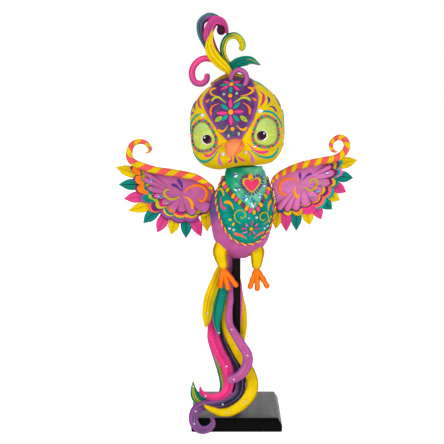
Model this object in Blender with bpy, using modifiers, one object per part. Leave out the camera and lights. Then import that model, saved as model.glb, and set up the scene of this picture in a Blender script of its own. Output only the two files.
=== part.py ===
"""A painted hummingbird ornament: the head turns on a ball neck, the wings on pegs, and the bird lifts off its post.

Sizes are in metres. Routes and outlines are in millimetres, from the origin of the piece's own frame.
+Z is up, the bird looks along -Y, and the origin is the middle of the plinth's underside.
"""

import math

import bmesh
import bpy
from mathutils import Vector

for old in list(bpy.data.objects):
    bpy.data.objects.remove(old, do_unlink=True)

MM = 0.001
GAP = 0.0003  # air between glued pieces

# Stand
PLINTH_SIDE = 0.088
PLINTH_HEIGHT = 0.013
PLINTH_CHAMFER = 0.0035
POST_SIDE = 0.008
POST_EXPOSED = 0.147  # from the plinth's top to the bird's belly
POST_TENON = 0.009  # depth in the plinth
POST_PLUG = 0.034  # depth in the belly
POST_CLEARANCE = 0.0003

# Torso
TORSO_OFFSET = 0.0025  # from the post's axis
TORSO_LEAN = 3.4  # degrees, towards +X
TORSO_STEPS = 24
TORSO_PROFILE = (
    (87.4, 0), (87.4, 17.8), (80, 20.8), (70, 26.5), (60, 30.5), (51, 31.5), (41, 30.8), (31, 28.8),
    (21, 26), (11, 19.5), (3, 9), (0, 0),
)
PANEL_THICK = 0.0015
SKIN_DEPTH = 0.07  # of the blanks that panels are cut from
CUTTER_SPARE = 0.004

# Neck and head
NECK_X = 0.006
NECK_Z = 0.097
BALL_RADIUS = 0.012
BALL_CLEARANCE = 0.0004
STUD_RADIUS = 0.004
STUD_LENGTH = 0.026
HEAD_FROM_NECK = (-0.006, -0.004, 0.038)
HEAD_ROLL = -4.4
HEAD_YAW = -5.0
HEAD_HALF = (0.046, 0.041, 0.0438)
HEAD_CROWN_POWER = 2.1  # a round crown
HEAD_CHEEK_POWER = 3.4  # full, boxy cheeks
EYE_CENTRE = (29, -7)
PUPIL_CENTRE = (25.5, -10)
PUPIL_RADIUS = 0.005
FOREHEAD_BACK = 0.014  # how far the forehead panel runs behind the head's middle
EYE_RIM = 1.11  # the bead ring against the plate's edge
BEAD_WAIST = 0.5  # the string between two beads, as a share of their radius
BEAK_DEEP = 0.016
BEAK_WIDTHS = (15, 16, 14, 9, 3)
BEAK_ROUTE = ((0, -34, -14.5), (0, -43, -15), (-1, -49, -18), (-3, -52, -23), (-5, -53, -28))
EYE_BEADS = 20
EYE_BEAD_RADIUS = 0.0011

# Wings
SHEET_THICK = 0.002
PANEL_SHEET_THICK = 0.003
FLUTE_RISE = 0.0015
PEG_RADIUS = 0.002
PEG_IN_WING = 0.014
PEG_IN_TORSO = 0.012
PEG_CLEARANCE = 0.0003
ROLL_RADIUS = 0.0034
ROLL_TAPER = (0.6, 0.85, 1, 1, 1, 0.9, 0.8, 0.6, 0.4, 0.2)  # shares of the radius from root to curl
PANEL_NOTCH = 0.9  # how deep the lobes part, as a share of their reach
SCALLOP_NOTCH = 0.92
FEATHER_NOTCH = 0.74

# Plumes
PLUME_THICK = 0.004
CREST_LAYER = 0.0044
BIB_BEADS = 18
BIB_BEAD_RADIUS = 0.0018
TRIM_RADIUS = 0.0011

BREAST_OUTLINE = (
    (-14, 82), (-20, 68), (-19, 58), (-17, 49), (-14, 40), (-9, 32), (-3, 25), (6, 21), (13, 21), (20, 23),
    (27, 29), (32, 37), (35, 47), (36, 56), (34, 71), (27, 82), (8, 84),
)
BIB_OUTLINE = (
    (-10, 86), (-12, 81), (-7, 73), (-1, 68), (6, 62), (11, 58), (16, 56), (20, 59), (24, 64), (28, 70),
    (29, 76), (27, 83), (25, 86),
)
BIB_BEAD_ROUTE = (
    (-14.5, 79), (-9, 69.3), (-1.5, 63), (4.5, 57), (11, 52.6), (16, 50.4), (21.2, 53), (25, 58),
    (29, 66), (30.6, 73), (30.4, 77),
)
TRIM_ROUTE = (
    (-17, 76), (-19.2, 67), (-18, 58), (-16, 49), (-13, 40), (-8.3, 32.7), (-2.5, 26), (6, 22), (13, 22),
    (19.5, 24), (26.3, 29.8), (31, 37.5), (34, 47), (34.4, 56), (33, 64),
)
HEART_OUTLINE = (
    (13, 72), (7, 78), (6, 82), (8, 85), (11, 85), (13, 82.5), (15, 85), (18, 85), (20, 82), (19, 78),
)
FOREHEAD_HALF = ((12, 52), (20, 35), (25, 26), (23.5, 17), (18.5, 5), (12, -5), (5, -12.5))
EYE_OUTLINE = (
    (29.5, 7.5), (22.5, 4), (16.5, -8), (16.5, -14), (20, -18.5), (29, -21.5), (37, -18), (41, -10), (39, 1),
)

# Each wing: shoulder from the figure's frame, then outline tips as distance outward and height from the shoulder
WINGS = {
    "left": {
        "side": -1,
        "shoulder": (-0.0263, 0.002, 0.060),
        "hub": (27, 4),
        "lobes": (
            (63.5, 28), (64, 22), (59.5, 12.5), (53.5, 4.5), (46.5, -1), (37, -8.5), (27, -11), (17, -12.5),
            (4.5, -12),
        ),
        "scallops": (
            (77, 32.5), (74, 22.5), (73, 11), (68.5, 2), (59.5, -9), (46, -17), (30, -23), (16.5, -23), (5, -16),
        ),
        "feathers": (
            (91, 32), (88.5, 15), (83.5, 1), (79.5, -11), (65, -23), (51.5, -32.5), (38, -34.5), (23.5, -38),
            (8.5, -36.5), (2.5, -31.5),
        ),
        "rim": ((0.5, 4), (4, 17.5), (19, 24), (38, 28), (57, 31)),
        "roll": (
            (0.7, 14.5), (4.5, 19.5), (14.5, 24.5), (26.5, 26.5), (40, 28.5), (53.5, 30.5), (64, 34), (72, 37),
            (76.5, 41.5), (77, 48.5), (74, 55), (67.5, 58), (61, 56.5), (57, 51.5), (58.5, 48), (61, 46.5),
        ),
    },
    "right": {
        "side": 1,
        "shoulder": (0.0345, 0.002, 0.071),
        "hub": (28, 7),
        "lobes": (
            (57, 23), (59.5, 18), (56, 6.5), (48.5, -1.5), (44.5, -10), (32.5, -16), (20, -20.5), (10.5, -22),
        ),
        "scallops": (
            (68, 27.5), (69, 17), (65, 6.5), (60.5, -4.5), (51, -17), (36.5, -25), (21, -26.5), (9, -25),
        ),
        "feathers": (
            (83, 28), (79, 10.5), (72.5, -3.5), (66.5, -11.5), (59, -20.5), (48.5, -30.5), (37.5, -36),
            (24.5, -41.5), (14.5, -42.5), (4, -40),
        ),
        "rim": ((0.7, 5), (6, 12), (18, 19.5), (36, 25.5), (50, 28)),
        "roll": (
            (0.7, 8), (3, 11), (9.5, 15.5), (18.5, 20), (28, 24), (38.5, 26.5), (49, 28.5), (57.5, 30), (65, 33),
            (69.5, 37.5), (71.5, 43), (69, 49), (64, 51), (58.5, 48.5), (56, 43.5), (57.5, 39.5), (60, 37.5),
        ),
    },
}

# Tail stem and legs
STEM_DEEP = 0.015
STEM_WIDTHS = (8, 9, 15, 12)
STEM_ROUTE = ((-3, 10, 20), (-5, 10.5, 6), (-8, 12.8, -8), (-8.5, 12.8, -12))
THIGH_DEEP = 0.012
THIGH_WIDTHS = (13, 14, 11, 8)
TOE_DEEP = 0.0046
TOE_WIDTHS = (6, 4.6, 4)
TOE_ARCH = (0, -2.5, 1)
FOOT_DROP = (0, -0.6, -3.6)  # from the ankle

# Legs: hip, knee and ankle, then the three toe tips, in the figure's frame
LEGS = {
    "left": ((-15, -9, 16), (-16, -12, 8), (-13.5, -14, -4), ((-16, -19, -24), (-8, -21, -25.5), (0, -19, -23))),
    "right": ((19, -9, 13), (20, -12, 7), (19.5, -14, -4), ((13, -19, -24.5), (20, -21, -26.5), (30, -19, -24))),
}

# Crest plumes: layer from front to back, widths along the plume, route across and up from the head's middle
CREST = {
    "crest_orchid_ring": (-3, (5, 5, 4.5, 4), (
        (-1, 36), (-0.6, 44), (2.8, 49), (6.9, 50.8), (11.8, 48.4), (13.4, 43.2), (11.8, 35))),
    "crest_rose_curl": (-2, (5, 6, 6, 6, 5.5), (
        (-4, 36), (-10, 55), (-20, 62.5), (-26.2, 64), (-33.6, 60), (-38.1, 54.2), (-38.6, 47.2), (-36, 42),
        (-30.1, 40.5), (-25.8, 43.2), (-25.4, 49.2))),
    "crest_yellow_leaf": (-1, (4, 6, 8, 8, 2), (
        (-3, 36), (-6, 51.8), (-16.4, 61.6), (-18.8, 69.8), (-19.1, 77.9), (-15.2, 89.7))),
    "crest_teal_leaf": (0, (4, 6, 8, 8, 2), (
        (-2, 36), (-1.9, 53.5), (4.5, 58), (12.6, 59.4), (18.6, 58.9), (25.3, 54.4))),
    "crest_green_curl": (1, (4, 5, 5, 5, 4.5), (
        (-2, 36), (-3.8, 55.6), (-7.2, 62.9), (-8.6, 71.1), (-6, 78.9), (-1.7, 82.6), (4.4, 83.2),
        (9.1, 78.8), (10.7, 73.6), (9.5, 70.7))),
    "crest_pink_ribbon": (2, (4, 7, 9, 8, 3), (
        (-3, 36), (-4.4, 47.6), (-12.4, 61.3), (-18.5, 72.8), (-21.7, 84.2), (-20.1, 92.1), (-14.5, 98.7),
        (-8.6, 97.2), (-5, 91.9), (-3.5, 85.8))),
    "crest_slate_loop": (3, (4, 6, 6.5, 6.5, 8), (
        (-2, 36), (-2.7, 43.5), (-10.8, 56.2), (-19.9, 67.9), (-26.1, 79.5), (-29.4, 88.8), (-28.7, 97.8),
        (-23.3, 102.4), (-18.2, 103), (-12.5, 99.5), (-8.9, 93.2), (-9.2, 89.2))),
    "crest_back_leaf": (4.4, (3, 5, 6, 5, 3), (
        (-22.2, 37.9), (-10.8, 42.1), (-1.7, 43.4), (9.2, 41.5), (18.9, 36.8))),
}

# Tail plumes: widths along the plume, route in the figure's frame
TAIL = {
    "tail_yellow_leaf": ((5, 8, 10, 9, 3), (
        (-14, 9, -6), (-19.5, -1, -11), (-21.5, -8, -21), (-27, -14, -39), (-30, -19, -51), (-31, -23, -61))),
    "tail_teal_leaf": ((5, 9, 12, 10, 3), (
        (-12, 8, -10), (-13.5, 1, -18), (-14.5, -5.5, -27), (-18, -11, -45), (-19, -16, -58), (-17, -22, -69))),
    "tail_orchid_front": ((5, 7, 8.5, 8.5, 8.5, 7), (
        (-8.5, 9, -8), (-9.5, 0, -11), (-9.8, -8, -20), (-9, -13, -33), (-7, -17, -46), (-6, -22, -59),
        (-1, -28, -70), (6, -33, -78), (9, -37, -86), (7, -42, -95), (-1, -46, -103), (-10, -48, -106))),
    "tail_pink_sweep": ((5, 9, 10, 9, 7, 6), (
        (-12, 10, -13), (-15.5, 4, -25), (-18, -2, -38), (-19, -7, -50), (-21, -17, -71), (-18, -24, -84),
        (-11, -30, -94), (-7, -36, -105), (-7, -41, -115), (-12, -44, -122), (-23, -46, -124),
        (-32, -44, -122), (-35, -40, -114))),
    "tail_navy_curl": ((5, 9, 10, 10, 8, 6), (
        (-10, 12.5, -13), (-12, 10, -25), (-14, 4, -41), (-15, -10, -68), (-9, -17, -82), (-3, -24, -94),
        (3, -31, -108), (4, -38, -120), (-4, -42, -128), (-16, -43, -132), (-29, -44, -132), (-38, -46, -136),
        (-42, -48, -145), (-39, -50, -152), (-32, -51, -155), (-26, -50, -153), (-23, -48.5, -148),
        (-24, -48, -144))),
    "tail_yellow_crescent": ((5, 9, 11, 11, 11, 8, 3), (
        (-8, 16, -12), (-8.5, 15, -25), (-9, 9, -41), (-12, 1, -58), (-11, -7, -73), (-3, -15, -88),
        (6, -21, -99), (13, -26, -109), (14, -30, -117), (10, -36, -128), (2, -38, -134.5),
        (-8, -39.5, -138.5), (-20, -39.5, -138.5), (-31, -38, -134))),
    "tail_lime_sweep": ((4, 6, 6, 6, 6, 3), (
        (-13, 17, -9), (-19, 15, -28), (-21, 8, -50), (-23, -4, -79), (-21, -11, -93), (-17, -18, -106),
        (-15, -25, -119), (-18, -31, -129), (-24, -32, -133), (-31, -33, -134), (-39, -31, -130),
        (-43, -28, -123), (-42, -23, -115))),
    "tail_pink_strip": ((4, 5, 5, 2), (
        (-4, 12.6, -10), (4, 10, -24), (8, 5, -44), (8, 0, -58), (7, -5, -69))),
    "tail_gold_strip": ((4, 6, 6, 2), (
        (-4, 17, -11), (4, 16, -30), (8, 12, -44), (10, 6, -59), (10.5, 0, -70), (10, -5, -81))),
}

COLOURS = {
    "black": (0.012, 0.010, 0.010), "yellow": (0.72, 0.51, 0.02), "orchid": (0.48, 0.09, 0.35),
    "teal": (0.01, 0.26, 0.19), "mint": (0.10, 0.50, 0.30), "pink": (0.86, 0.05, 0.22),
    "coral": (0.90, 0.13, 0.12), "orange": (1.0, 0.20, 0.02), "lime": (0.48, 0.60, 0.10),
    "purple": (0.11, 0.03, 0.19), "navy": (0.05, 0.03, 0.12), "ivory": (0.75, 0.70, 0.60),
}


def new_collection(name, hidden=False):
    made = bpy.data.collections.new(name)
    bpy.context.scene.collection.children.link(made)
    made.hide_render = hidden
    return made


PARTS = new_collection("alebrije_hummingbird")
CUTTERS = new_collection("cutters", hidden=True)


def paint(colour, roughness=0.55):
    """The flat paint of this colour, made once."""
    if colour in bpy.data.materials:
        return bpy.data.materials[colour]
    made = bpy.data.materials.new(colour)
    made.use_nodes = True
    shader = made.node_tree.nodes["Principled BSDF"]
    shader.inputs["Base Color"].default_value = (*COLOURS[colour], 1)
    shader.inputs["Roughness"].default_value = roughness
    shader.inputs["Metallic"].default_value = 0
    return made


def frame(name, location, parent=None, rotation=(0, 0, 0)):
    """An empty that a sub-assembly hangs on."""
    made = bpy.data.objects.new(name, None)
    made.location = location
    made.rotation_euler = [math.radians(angle) for angle in rotation]
    made.parent = parent
    PARTS.objects.link(made)
    return made


def add(name, mesh, parent, colour):
    """A part, or a cutter where it has no colour."""
    made = bpy.data.objects.new(name, mesh)
    made.parent = parent
    if colour is None:
        made.hide_render = True
        made.display_type = "WIRE"
        CUTTERS.objects.link(made)
    else:
        mesh.materials.append(paint(colour))
        PARTS.objects.link(made)
    return made


def mesh_of(name, shape, smooth=True):
    """A mesh from a bmesh, with its faces turned outward."""
    bmesh.ops.recalc_face_normals(shape, faces=shape.faces)
    mesh = bpy.data.meshes.new(name)
    shape.to_mesh(mesh)
    shape.free()
    if smooth:
        mesh.shade_smooth()
        mesh.set_sharp_from_angle(angle=math.radians(40))
    return mesh


def boolean(target, cutter, operation="DIFFERENCE"):
    modifier = target.modifiers.new(f"{operation.lower()}_{cutter.name}", "BOOLEAN")
    modifier.operation = operation
    modifier.object = cutter


def through(points, steps, closed=False):
    """Points on a smooth curve through the given ones, steps to each stretch."""
    points = [Vector(p) for p in points]
    count = len(points)
    found = []
    for i in range(count if closed else count - 1):
        if closed:
            a, b, c, d = (points[(i + k) % count] for k in (-1, 0, 1, 2))
        else:
            b, c = points[i], points[i + 1]
            a = points[i - 1] if i else 2 * b - c
            d = points[i + 2] if i + 2 < count else 2 * c - b
        for k in range(steps):
            t = k / steps
            found.append(0.5 * (2 * b + (c - a) * t + (2 * a - 5 * b + 4 * c - d) * t * t
                                + (3 * b - a - 3 * c + d) * t ** 3))
    if not closed:
        found.append(points[-1])
    return found


def along(values, share):
    """The value at this share of an evenly spaced list."""
    place = share * (len(values) - 1)
    low = min(int(place), len(values) - 2)
    return values[low] + (values[low + 1] - values[low]) * (place - low)


def plume_mesh(name, route, widths, thick=PLUME_THICK, grow=0.0, steps=2, sides=6, across=(0, 1, 0)):
    """A flattened, tapering plume along a route in millimetres, with rounded ends."""
    path = [p * MM for p in through(route, steps)]
    last = len(path) - 1
    widest = max(widths)
    shape = bmesh.new()
    rings = []
    for i, point in enumerate(path):
        tangent = (path[min(i + 1, last)] - path[max(i - 1, 0)]).normalized()
        side = tangent.cross(Vector(across)).normalized()
        depth = side.cross(tangent)
        width = along(widths, i / last)
        half = width * MM / 2 + grow
        deep = thick / 2 * (0.4 + 0.6 * width / widest) + grow
        sections = [(point, 1.0)]
        if i == 0:
            sections.insert(0, (point - tangent * half * 0.4, 0.45))
        if i == last:
            sections.append((point + tangent * half * 0.4, 0.45))
        for centre, share in sections:
            rings.append([
                shape.verts.new(centre + share * (side * half * math.cos(turn) + depth * deep * math.sin(turn)))
                for turn in (2 * math.pi * k / sides for k in range(sides))
            ])
    for low, high in zip(rings, rings[1:]):
        for k in range(sides):
            shape.faces.new((low[k], low[k - 1], high[k - 1], high[k]))
    shape.faces.new(rings[0])
    shape.faces.new(rings[-1])
    return mesh_of(name, shape)


def rod(name, points, radii, parent, colour, closed=False, resolution=1):
    """A round tube through points in metres, with a radius at each."""
    data = bpy.data.curves.new(name, "CURVE")
    data.dimensions = "3D"
    data.bevel_depth = 1.0
    data.bevel_resolution = resolution
    data.use_fill_caps = not closed
    spline = data.splines.new("POLY")
    spline.points.add(len(points) - 1)
    spline.use_cyclic_u = closed
    for spot, point, radius in zip(spline.points, points, radii):
        spot.co = (*point, 1)
        spot.radius = radius
    data.materials.append(paint(colour))
    made = bpy.data.objects.new(name, data)
    made.parent = parent
    PARTS.objects.link(made)
    return made


def box_mesh(name, size, centre, chamfer=0.0):
    """A box, with its upper edges rounded over where it has a chamfer."""
    shape = bmesh.new()
    bmesh.ops.create_cube(shape, size=1)
    bmesh.ops.scale(shape, vec=size, verts=shape.verts)
    bmesh.ops.translate(shape, vec=centre, verts=shape.verts)
    if chamfer:
        top = max(v.co.z for v in shape.verts)
        upper = [e for e in shape.edges if all(abs(v.co.z - top) < GAP for v in e.verts)]
        bmesh.ops.bevel(shape, geom=upper, offset=chamfer, segments=3, profile=0.5, affect="EDGES")
    return mesh_of(name, shape, smooth=False)


def ball_mesh(name, radius, centre=(0, 0, 0), segments=16, rings=10):
    shape = bmesh.new()
    bmesh.ops.create_uvsphere(shape, u_segments=segments, v_segments=rings, radius=radius)
    bmesh.ops.translate(shape, vec=centre, verts=shape.verts)
    return mesh_of(name, shape)


def cylinder_mesh(name, radius, start, end, segments=16):
    """A cylinder from one point to another."""
    start, end = Vector(start), Vector(end)
    run = end - start
    shape = bmesh.new()
    bmesh.ops.create_cone(
        shape, cap_ends=True, segments=segments, radius1=radius, radius2=radius, depth=run.length)
    bmesh.ops.rotate(shape, verts=shape.verts, matrix=run.to_track_quat("Z", "Y").to_matrix())
    bmesh.ops.translate(shape, vec=(start + end) / 2, verts=shape.verts)
    return mesh_of(name, shape)


def prism_mesh(name, outline, near, far, steps=2):
    """An outline in millimetres across and up, run from one depth to another."""
    shape = bmesh.new()
    corners = [shape.verts.new((p[0] * MM, near, p[1] * MM)) for p in through(outline, steps, closed=True)]
    face = shape.faces.new(corners)
    grown = bmesh.ops.extrude_face_region(shape, geom=[face])
    moved = [v for v in grown["geom"] if isinstance(v, bmesh.types.BMVert)]
    bmesh.ops.translate(shape, vec=(0, far - near, 0), verts=moved)
    return mesh_of(name, shape)


FIGURE_Z = PLINTH_HEIGHT + POST_EXPOSED
FIGURE = frame("figure", (0, 0, FIGURE_Z))
TORSO = frame("torso_axis", (TORSO_OFFSET, 0, 0), FIGURE, (0, TORSO_LEAN, 0))
NECK = frame("neck", (NECK_X, 0, NECK_Z), FIGURE)
HEAD = frame("head_middle", HEAD_FROM_NECK, NECK, (0, HEAD_ROLL, HEAD_YAW))


# Stand


def build_stand():
    plinth = add("base_plinth", box_mesh(
        "base_plinth", (PLINTH_SIDE, PLINTH_SIDE, PLINTH_HEIGHT), (0, 0, PLINTH_HEIGHT / 2), PLINTH_CHAMFER),
        None, "black")
    foot = PLINTH_HEIGHT - POST_TENON
    top = FIGURE_Z + POST_PLUG
    hole = POST_SIDE + 2 * GAP
    mortise = add("mortise", box_mesh(
        "mortise", (hole, hole, PLINTH_HEIGHT), (0, 0, foot - GAP + PLINTH_HEIGHT / 2)), None, None)
    boolean(plinth, mortise)
    add("stand_post", box_mesh(
        "stand_post", (POST_SIDE, POST_SIDE, top - foot), (0, 0, (top + foot) / 2), POST_SIDE / 16),
        None, "black")


# Torso


TORSO_CURVE = through(TORSO_PROFILE[1:-1], 2)


def torso_radius(height):
    """The torso's radius at a height along its axis, both in millimetres."""
    curve = TORSO_CURVE
    for high, low in zip(curve, curve[1:]):
        if low[0] <= height <= high[0]:
            share = (height - low[0]) / (high[0] - low[0])
            return low[1] + (high[1] - low[1]) * share
    return curve[0][1] if height > curve[0][0] else curve[-1][1]


def torso_surface(name, lift, colour=None):
    """The torso's turned form, grown outward by lift."""
    shape = bmesh.new()
    grow = lift / MM
    profile = [Vector((TORSO_PROFILE[0][0] + grow, 0))]
    profile += [Vector((h + (grow if i == 0 else 0), r + grow)) for i, (h, r) in enumerate(TORSO_CURVE)]
    profile.append(Vector((TORSO_PROFILE[-1][0] - grow, 0)))
    spots = [shape.verts.new((r * MM, 0, h * MM)) for h, r in profile]
    for a, b in zip(spots, spots[1:]):
        shape.edges.new((a, b))
    mesh = bpy.data.meshes.new(name)
    shape.to_mesh(mesh)
    shape.free()
    made = add(name, mesh, TORSO, colour)
    screw = made.modifiers.new("turned", "SCREW")
    screw.steps = TORSO_STEPS
    screw.render_steps = TORSO_STEPS
    screw.use_merge_vertices = True
    screw.merge_threshold = 0.00001
    screw.use_smooth_shade = True
    return made


def on_torso(spot, lift):
    """The point in the figure's frame, in metres, in front of the torso at this place across and up."""
    lean = math.radians(TORSO_LEAN)
    across = spot[0] - TORSO_OFFSET / MM
    local_x = across * math.cos(lean) - spot[1] * math.sin(lean)
    local_z = across * math.sin(lean) + spot[1] * math.cos(lean)
    reach = torso_radius(local_z) + lift / MM
    depth = math.sqrt(max(reach ** 2 - local_x ** 2, 0))
    return Vector((spot[0], -depth, spot[1])) * MM


def torso_skin(name, outline, low, high, colour):
    """A panel laid on the torso's front between two heights above its surface."""
    made = add(name, prism_mesh(name, outline, -SKIN_DEPTH, 0.0), FIGURE, colour)
    boolean(made, torso_surface(f"{name}_over", high), "INTERSECT")
    boolean(made, torso_surface(f"{name}_under", low))
    return made


def build_torso():
    torso = torso_surface("torso", 0, "orchid")
    socket = POST_SIDE + 2 * POST_CLEARANCE
    depth = POST_PLUG + POST_CLEARANCE
    boolean(torso, add("post_socket", box_mesh(
        "post_socket", (socket, socket, depth * 2), (0, 0, 0)), FIGURE, None))
    boolean(torso, add("neck_cup", ball_mesh("neck_cup", BALL_RADIUS + BALL_CLEARANCE), NECK, None))
    boolean(torso, add("stud_hole", cylinder_mesh(
        "stud_hole", STUD_RADIUS + GAP, (0, 0, 0), (0, 0, -STUD_LENGTH - GAP)), NECK, None))
    for name, wing in WINGS.items():
        boolean(torso, peg_cutter(f"{name}_peg_socket", wing, -PEG_IN_TORSO - GAP, CUTTER_SPARE))
    panel_top = GAP + PANEL_THICK
    bib_top = panel_top + GAP + PANEL_THICK
    torso_skin("breast_panel", BREAST_OUTLINE, GAP, panel_top, "teal")
    torso_skin("throat_bib", BIB_OUTLINE, panel_top + GAP, bib_top, "mint")
    torso_skin("heart_charm", HEART_OUTLINE, bib_top + GAP, bib_top + 2 * PANEL_THICK, "pink")
    route = through(TRIM_ROUTE, 2)
    trim = [on_torso(p, panel_top + GAP + TRIM_RADIUS) for p in route]
    rod("breast_trim", trim, [TRIM_RADIUS] * len(trim), FIGURE, "coral")
    string_of_beads(
        "bib_beads", through(BIB_BEAD_ROUTE, 12), BIB_BEADS, BIB_BEAD_RADIUS, FIGURE, "coral",
        lambda p: on_torso(p, panel_top + GAP + BIB_BEAD_RADIUS))


def string_of_beads(name, route, beads, radius, parent, colour, lay, closed=False):
    """Touching beads along a route, as one knobbly string laid on a surface."""
    lengths = [0.0]
    for a, b in zip(route, route[1:] + route[:1] if closed else route[1:]):
        lengths.append(lengths[-1] + (b - a).length)
    ends = route + route[:1] if closed else route
    knots = []
    radii = []
    for k in range(round(2 * beads) + (not closed)):
        want = lengths[-1] * k / (2 * beads)
        i = max(j for j in range(len(ends) - 1) if lengths[j] <= want + 1e-9)
        share = (want - lengths[i]) / (lengths[i + 1] - lengths[i])
        knots.append(lay(ends[i].lerp(ends[i + 1], share)))
        radii.append(radius * (1 if k % 2 else BEAD_WAIST))
    return rod(name, knots, radii, parent, colour, closed)


# Head


def head_reach(direction, lift=0.0):
    """How far the head's surface is from its middle in this direction."""
    blend = min(max(0.5 - direction.z * 1.5, 0), 1)
    power = HEAD_CROWN_POWER + (HEAD_CHEEK_POWER - HEAD_CROWN_POWER) * blend
    total = sum(abs(d / (half + lift)) ** power for d, half in zip(direction, HEAD_HALF))
    return total ** (-1 / power)


def head_surface(name, lift, colour=None):
    """The head's round form, grown outward by lift."""
    shape = bmesh.new()
    bmesh.ops.create_uvsphere(shape, u_segments=28, v_segments=18, radius=1)
    for spot in shape.verts:
        spot.co = spot.co * head_reach(spot.co.normalized(), lift)
    return add(name, mesh_of(name, shape), HEAD, colour)


def on_head(spot, lift):
    """The point on the head's front, in its frame and in metres, at this place across and up."""
    near, far = 0.0, 0.1
    for _ in range(40):
        depth = (near + far) / 2
        point = Vector((spot[0] * MM, -depth, spot[1] * MM))
        if point.length < head_reach(point.normalized(), lift):
            near = depth
        else:
            far = depth
    return Vector((spot[0] * MM, -near, spot[1] * MM))


def head_skin(name, outline, low, high, colour, far=0.0):
    """A panel laid on the head's front between two heights above its surface."""
    made = add(name, prism_mesh(name, outline, -SKIN_DEPTH, far), HEAD, colour)
    boolean(made, head_surface(f"{name}_over", high), "INTERSECT")
    boolean(made, head_surface(f"{name}_under", low))
    return made


def beak_mesh(name, grow):
    """The hooked beak, from inside the face to its tip."""
    return plume_mesh(name, BEAK_ROUTE, BEAK_WIDTHS, thick=BEAK_DEEP, grow=grow, across=(1, 0, 0))


def build_head():
    head = head_surface("head", 0, "yellow")
    boolean(head, add("head_cup", ball_mesh("head_cup", BALL_RADIUS + BALL_CLEARANCE), NECK, None))
    ball = add("neck_ball", ball_mesh("neck_ball", BALL_RADIUS), NECK, "ivory")
    stud = add("neck_stud", cylinder_mesh("neck_stud", STUD_RADIUS, (0, 0, 0), (0, 0, -STUD_LENGTH)), NECK, None)
    boolean(ball, stud, "UNION")
    panel_top = GAP + PANEL_THICK
    shield = list(FOREHEAD_HALF) + [(-x, z) for x, z in reversed(FOREHEAD_HALF)]
    forehead = head_skin("forehead_panel", shield, GAP, panel_top, "purple", far=FOREHEAD_BACK)
    for name, side in (("left", -1), ("right", 1)):
        outline = [(side * x, z) for x, z in EYE_OUTLINE]
        head_skin(f"{name}_eye_plate", outline, GAP, panel_top, "lime")
        middle = Vector((side * EYE_CENTRE[0], EYE_CENTRE[1]))
        ring = [middle + (Vector(p) - middle) * EYE_RIM for p in through(outline, 6, closed=True)]
        string_of_beads(
            f"{name}_eye_beads", ring, EYE_BEADS, EYE_BEAD_RADIUS, HEAD, "pink",
            lambda p: on_head(p, GAP + EYE_BEAD_RADIUS), closed=True)
        spot = on_head((side * PUPIL_CENTRE[0], PUPIL_CENTRE[1]), 0)
        pupil = add(f"{name}_pupil", ball_mesh(f"{name}_pupil", PUPIL_RADIUS, spot), HEAD, "black")
        boolean(pupil, head_surface(f"{name}_pupil_seat", panel_top + GAP))
    beak = add("beak", beak_mesh("beak", 0), HEAD, "orange")
    boolean(beak, head_surface("beak_seat", GAP))
    boolean(forehead, add("beak_notch", beak_mesh("beak_notch", GAP), HEAD, None))


def build_crest():
    seat = head_surface("crest_seat", GAP + PANEL_THICK + GAP)
    back_seat = head_surface("back_leaf_seat", GAP)
    colours = {
        "crest_orchid_ring": "orchid", "crest_rose_curl": "pink", "crest_yellow_leaf": "yellow",
        "crest_teal_leaf": "teal", "crest_green_curl": "lime", "crest_pink_ribbon": "pink",
        "crest_slate_loop": "navy", "crest_back_leaf": "yellow",
    }
    for name, (layer, widths, route) in CREST.items():
        depth = layer * CREST_LAYER / MM
        spots = [(x, depth, z) for x, z in route]
        plume = add(name, plume_mesh(name, spots, widths, CREST_LAYER - 2 * GAP), HEAD, colours[name])
        boolean(plume, back_seat if name == "crest_back_leaf" else seat)


# Wings


def peg_cutter(name, wing, start, end):
    """The peg's hole, from one distance outward of the shoulder to another."""
    x, y, z = wing["shoulder"]
    ends = [(x + wing["side"] * reach, y, z) for reach in (start, end)]
    return add(name, cylinder_mesh(name, PEG_RADIUS + PEG_CLEARANCE, *ends), FIGURE, None)


def rim_of(hub, lobes, notch, rim):
    """The sheet's edge as angle, distance from the hub and share of the flute's rise, once round."""
    def polar(spot):
        reach = Vector((spot[0] - hub[0], spot[1] - hub[1]))
        return math.atan2(reach.y, reach.x), reach.length

    tips = [polar(p) for p in lobes]
    angles = [tips[0][0]]
    for angle, _ in tips[1:]:
        angles.append(angle - 2 * math.pi if angle > angles[-1] else angle)
    reaches = [reach for _, reach in tips]
    bounds = [(a + b) / 2 for a, b in zip(angles, angles[1:])]
    bounds = [2 * angles[0] - bounds[0]] + bounds + [2 * angles[-1] - bounds[-1]]
    found = []
    samples = 4
    for i, reach in enumerate(reaches):
        beside = [reaches[max(i - 1, 0)], reaches[min(i + 1, len(reaches) - 1)]]
        for k in range(samples + (i == len(reaches) - 1)):
            share = k / samples
            low = notch * min(reach, beside[0] if share < 0.5 else beside[1])
            swell = math.sin(math.pi * share) ** 0.6
            found.append((bounds[i] + (bounds[i + 1] - bounds[i]) * share, low + (reach - low) * swell, swell))
    for spot in rim:
        angle, reach = polar(spot)
        while angle > found[-1][0]:
            angle -= 2 * math.pi
        found.append((angle, reach, 0.0))
    return found


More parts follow.
